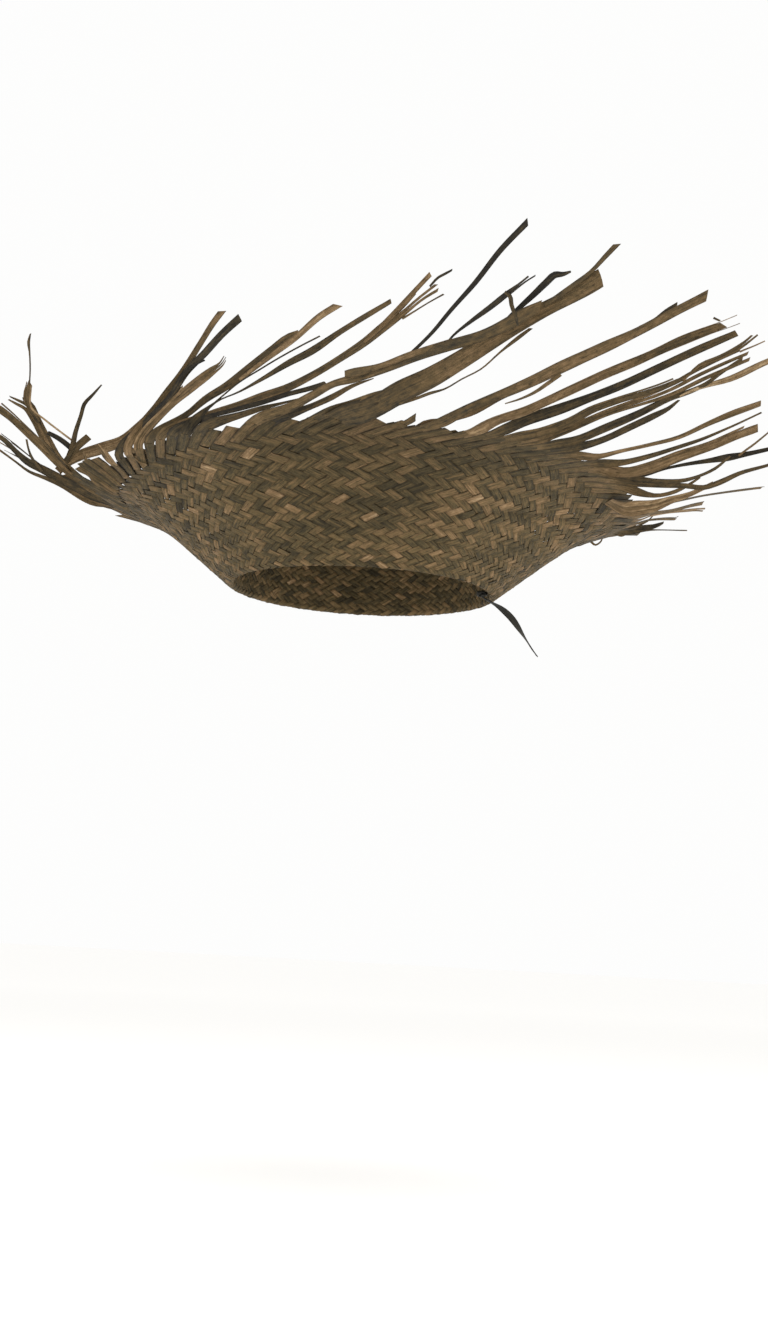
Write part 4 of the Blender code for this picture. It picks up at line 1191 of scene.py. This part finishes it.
def free_leaf(name, i, values, rng, tip, colour, body):
    """A leaf end that follows a design row from strip exit i."""
    leaving = EXITS[i]
    length, width = values[1:3]
    path, across = leaf_path(*values)
    far = np.linalg.norm(path - leaving.point, axis=1) > min(0.022, length * 0.5)
    k = int(np.argmax(far))
    bridge, bridge_widths = resample(
        np.vstack([leaving.point, leaving.point + leaving.heading * min(0.008, length * 0.2),
                   path[k]]),
        np.array([2 * leaving.half_width, 2 * leaving.half_width, width]))
    share = np.linspace(0, 1, len(path) - k)
    taper = 0.8 * smooth((share - 0.55) / 0.45) if tip == "point" else 0
    widths = width * (1 - 0.12 * share ** 2) * (1 - taper)
    mix = smooth(np.linspace(0, 1, len(bridge) - 1))[:, None]
    root_across = leaving.across if leaving.across @ across[k] > 0 else -leaving.across
    ribbons = Ribbons()
    blade(ribbons, np.vstack([bridge[:-1], path[k:]]),
          np.vstack([root_across * (1 - mix) + across[k] * mix, across[k:]]),
          np.concatenate([bridge_widths[:-1], widths]),
          leaving.tone, TONES[colour] + rng.normal(0, 0.03), ends(tip, width, rng), rng,
          ident=200 + i, curl=rng.normal(0, 0.05))
    hang(ribbons, name, body, leaving.point, leaving.heading, colour)


# Frame leaves that no blade has replaced.
for body, (values, tip, colour) in LEAVES.items():
    if body in replaced:
        continue
    order = np.argsort(np.linalg.norm(EXIT_POINTS - ROOTS[body], axis=1))
    i = int(next(k for k in order if k not in taken))
    taken[i] = body
    phi, length, width, *angles = values
    length = length * SHORT.get(body, 1.0)
    width = width * (SHORT_WIDTH if body in SHORT else 1.0)
    free_leaf("leaf_end_" + body, i, (phi, length / 1000, width / 1000, *angles),
              np.random.default_rng(3000 + i), tip, colour, body)

# Round the back every strip still free ends in a loose leaf, between its neighbours' rows.
leaf_names = list(LEAVES)
leaf_values = np.array([values for values, _, _ in LEAVES.values()])
ANGLE_SPREAD = (3, 2, 4, 5, 20)     # lean, lift, bend, sideways bend, twist
for i in range(STRIPS):
    phi = float(EDGE_AT[i])
    if i in taken or not 80 < phi < 262:
        continue
    rng = np.random.default_rng(5000 + i)
    order = np.argsort(np.abs((leaf_values[:, 0] - phi + 180) % 360 - 180))
    length, _, *angles = (leaf_values[order[0], 1:] + leaf_values[order[1], 1:]) / 2
    share = rng.uniform(0.6, 1.0) if rng.random() < 0.6 else rng.uniform(0.2, 0.5)
    length = max(0.03, length / 1000 * share)
    width = rng.uniform(0.003, 0.0065)
    colour = str(rng.choice(["tan", "brown", "olive", "dark", "dark", "brown"]))
    taken[i] = "loose"
    angles = [angle + rng.normal(0, spread) for angle, spread in zip(angles, ANGLE_SPREAD)]
    tip = str(rng.choice(["cut", "torn", "point"]))
    free_leaf("loose_end_%02d" % i, i, (phi, length, width, *angles), rng, tip, colour,
              leaf_names[int(order[0])])

for number, (name, colour, path, widths) in enumerate(read_blades(WISPS)):
    path, widths = resample(path, widths, step=0.0015)
    across, _ = facing(path, path_length(path))
    ribbons = Ribbons()
    blade(ribbons, path, across, widths, TONES[colour], TONES[colour], WHOLE,
          np.random.default_rng(7000 + number), ident=number + 640, thick=0.0004, wave=0.0,
          ease_length=0.004)
    thing = ribbons.build(name, MAT_LEAF, 60)
    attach(thing, "hat")


def edge_course():
    """The last course: strips without a leaf end are cut off a little beyond the edge."""
    ribbons = Ribbons()
    for family in (0, 1):
        for i in range(STRIPS):
            if family == 1:
                end = X_RIM - 0.10 - 0.2 * RNG.random()
            elif i in taken:
                end = X_RIM + 0.35
            else:
                left = float(near(EDGE_AT[i], 280, 26))
                front = float(near(EDGE_AT[i], 330, 50))
                end = X_RIM + RNG.uniform(0.4, 1.5) * (1 - 0.8 * front) + 3.6 * left
            ribbons.add(*strip(family, i, ring_places(N_EDGE + 0.5, end)))
    thing = ribbons.build("edge_course", MAT_EDGE)
    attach(thing, "hat")
    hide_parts("brim_edge")


edge_course()

# ------------------------------------------------------------------ dark tie
TIE_ROOT = JOINT_AT["tie"] + np.array([0.0018, 0.0, 0.0006])
TIE_LENGTH, TIE_STEPS = 0.056, 60
KNOT = (knot_box[0] + knot_box[1]) / 2


def tie_piece():
    """The free strip of the tie, hanging from the knot towards +X."""
    path, across, headings = [], [], []
    point = TIE_ROOT.copy()
    for i in range(TIE_STEPS + 1):
        share = min(i / TIE_STEPS, 0.999)
        drop = math.radians(27 + 31 * float(smooth((share - 0.05) / 0.6))
                            - 3 * float(smooth((share - 0.75) / 0.25)))
        heading = unit(np.array([math.cos(drop) * 0.97, -0.24 * math.cos(drop),
                                 -math.sin(drop)]))
        turn = math.radians(10 + 60 * math.sin(PI * float(smooth(share / 0.8))))
        level = unit(np.cross(heading, [0, 0, 1.0]))
        path.append(point)
        across.append(level * math.cos(turn) + np.cross(level, heading) * math.sin(turn))
        headings.append(heading)
        point = point + heading * (TIE_LENGTH / TIE_STEPS)
    # a short run out of the knot
    out_steps = 8
    t = np.linspace(0, 1, out_steps + 1)[:-1][:, None]
    inside = KNOT + np.array([-0.0005, 0.0, -0.0006])
    gap = np.linalg.norm(path[0] - inside)
    run_out = hermite(t, inside, path[0], np.array([0.1, -0.2, -0.97]) * gap,
                      headings[0] * gap)
    path = np.vstack([run_out, path])
    across = np.vstack([np.repeat(across[:1], out_steps, 0), across])
    heading = unit(np.gradient(path, axis=0))
    across = unit(reject(across, heading))
    share = np.linspace(0, 1, len(path))
    width = 0.0022 + 0.0026 * smooth(share / 0.35) - 0.0006 * smooth((share - 0.9) / 0.1)
    ribbons = Ribbons()
    blade(ribbons, path, across, width, root_tone=0.30, tone=0.34,
          strands=[(-1, 0.15, 0.85, -0.008, 0.01, 1.0), (0.15, 1, 0.8, 0.012, 0.0, 0.97)],
          rng=np.random.default_rng(77), fold=0.10, wave=0.0003, thick=0.0007, ident=700,
          curl=0.05)
    thing = ribbons.build("tie_strip_leaf", MAT_TIE, 60)
    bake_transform(thing)
    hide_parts("tie_strip")


def tie_knot():
    """A trefoil of flattened cord."""
    rings, sides = 150, 10
    turn = np.linspace(0, 2 * PI, rings, endpoint=False)
    radius = 0.0024 + 0.0013 * np.cos(3 * turn)
    path = np.stack([radius * np.cos(2 * turn), radius * np.sin(2 * turn),
                     0.0014 * np.sin(3 * turn)], 1) + KNOT
    heading = unit(np.roll(path, -1, 0) - np.roll(path, 1, 0))
    outward = unit(reject(path - KNOT, heading))
    angle = np.linspace(0, 2 * PI, sides, endpoint=False)
    points = (path[:, None]
              + outward[:, None] * (0.00062 * np.cos(angle))[None, :, None]
              + np.cross(heading, outward)[:, None]
              * (0.00098 * np.sin(angle))[None, :, None]).reshape(-1, 3)
    index = np.arange(rings * sides).reshape(rings, sides)
    following = np.roll(index, -1, 0)
    quads = np.stack([index, following, np.roll(following, -1, 1), np.roll(index, -1, 1)],
                     -1).reshape(-1, 4)
    mesh = bpy.data.meshes.new("tie_knot_leaf")
    mesh.from_pydata(points.tolist(), [], quads.tolist())
    mesh.update()
    strand = layers(0.001 * np.sin(angle)[None], 0.003 * turn[:, None], 5.5)
    # the flat cord's edges take the material's painted edge shade
    tone = layers(0.36, 1.0, np.abs(np.sin(angle))[None] + 0 * turn[:, None], 0.5)
    thing = new_object("tie_knot_leaf", mesh, MAT_TIE, strand, tone)
    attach(thing, "hat")
    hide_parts("tie_knot")


tie_piece()
tie_knot()


# ------------------------------------------------------------ floor and light
def floor_material():
    mat = bpy.data.materials.new("pale_floor")
    mat.use_nodes = True
    tree = mat.node_tree
    surface = tree.nodes["Principled BSDF"]
    surface.inputs["Base Color"].default_value = (0.93, 0.93, 0.925, 1)
    surface.inputs["Roughness"].default_value = 0.9
    surface.inputs["Emission Color"].default_value = (1, 1, 0.99, 1)
    # the floor glows more away from the hat, up to the backdrop's white
    position = tree.nodes.new("ShaderNodeNewGeometry")
    radius = tree.nodes.new("ShaderNodeVectorMath")
    radius.operation = "LENGTH"
    glow = tree.nodes.new("ShaderNodeMapRange")
    for socket, value in (("From Min", 0.8), ("From Max", 6.0),
                          ("To Min", 0.30), ("To Max", 0.405)):
        glow.inputs[socket].default_value = value
    tree.links.new(position.outputs["Position"], radius.inputs[0])
    tree.links.new(radius.outputs["Value"], glow.inputs["Value"])
    tree.links.new(glow.outputs["Result"], surface.inputs["Emission Strength"])
    return mat


def make_floor(radius=40, corners=96, below_head=0.42):
    mesh = bpy.data.meshes.new("floor")
    ring = [(radius * math.cos(2 * PI * k / corners), radius * math.sin(2 * PI * k / corners), 0)
            for k in range(corners)]
    mesh.from_pydata(ring, [], [tuple(range(corners))])
    floor = bpy.data.objects.new("floor", mesh)
    floor.location = (0, 0, HEAD_Z - below_head)
    bpy.context.scene.collection.objects.link(floor)
    mesh.materials.append(floor_material())


def make_world():
    """Near-white backdrop to the camera, a softer warm fill to everything else."""
    world = bpy.data.worlds.new("studio")
    bpy.context.scene.world = world
    world.use_nodes = True
    tree = world.node_tree
    tree.nodes.clear()

    def background(colour, strength):
        node = tree.nodes.new("ShaderNodeBackground")
        node.inputs[0].default_value = colour
        node.inputs[1].default_value = strength
        return node.outputs[0]

    output = tree.nodes.new("ShaderNodeOutputWorld")
    mix = tree.nodes.new("ShaderNodeMixShader")
    rays = tree.nodes.new("ShaderNodeLightPath")
    seen = background(colour=(0.985, 0.985, 0.98, 1), strength=1.0)
    fill = background(colour=(1.0, 0.985, 0.96, 1), strength=0.62)
    tree.links.new(rays.outputs["Is Camera Ray"], mix.inputs[0])
    tree.links.new(fill, mix.inputs[1])
    tree.links.new(seen, mix.inputs[2])
    tree.links.new(mix.outputs[0], output.inputs[0])


HEAD_CENTRE = Vector((0, 0, HEAD_Z))


def softbox(name, place, size, power):
    """Area light aimed at the centre of the head line."""
    light = bpy.data.lights.new(name, "AREA")
    light.shape = "RECTANGLE"
    light.size, light.size_y = size
    light.energy = power
    light.color = (1.0, 0.985, 0.96)
    thing = bpy.data.objects.new(name, light)
    thing.location = place
    thing.rotation_euler = (HEAD_CENTRE - Vector(place)).to_track_quat("-Z", "Y").to_euler()
    bpy.context.scene.collection.objects.link(thing)


make_floor()
make_world()
bpy.context.scene.view_settings.view_transform = "Standard"
softbox("softbox_left", place=(-2.1, -0.9, 0.2), size=(1.2, 1.6), power=19)
softbox("softbox_right", place=(2.1, -0.9, 0.2), size=(1.2, 1.6), power=26)
softbox("softbox_top", place=(0.0, -0.4, 2.2), size=(1.8, 1.8), power=20)

# ------------------------------------------------------------------- camera
DISTANCE = 1.6                      # from the centre of the head line
BELOW, ROLL = 9.2, 3.2              # degrees under the level, and of roll
LENS, SENSOR = 60.0, 36.0           # millimetres
ASPECT = 4 / 7                      # width of the picture over its height
# Where the head line's centre sits: shares of the picture's width and height from its middle.
AIM_X, AIM_Y = -0.0293, 0.0598


def make_camera():
    zoom = LENS / SENSOR
    below, roll = math.radians(BELOW), math.radians(ROLL)
    to_hat = Vector((0, math.cos(below), math.sin(below)))
    level = to_hat.cross(Vector((0, 0, 1))).normalized()
    upright = level.cross(to_hat)
    right = level * math.cos(roll) + upright * math.sin(roll)
    up = upright * math.cos(roll) - level * math.sin(roll)
    forward = (to_hat - right * (AIM_X * ASPECT / zoom) - up * (AIM_Y / zoom)).normalized()
    right = (right - forward * right.dot(forward)).normalized()
    up = right.cross(forward)
    camera = bpy.data.cameras.new("camera")
    camera.lens = LENS
    camera.sensor_width = SENSOR
    camera.sensor_fit = "AUTO"
    thing = bpy.data.objects.new("camera", camera)
    matrix = Matrix((right, up, -forward)).transposed().to_4x4()
    matrix.translation = HEAD_CENTRE - to_hat * DISTANCE
    thing.matrix_world = matrix
    bpy.context.scene.collection.objects.link(thing)
    bpy.context.scene.camera = thing


make_camera()
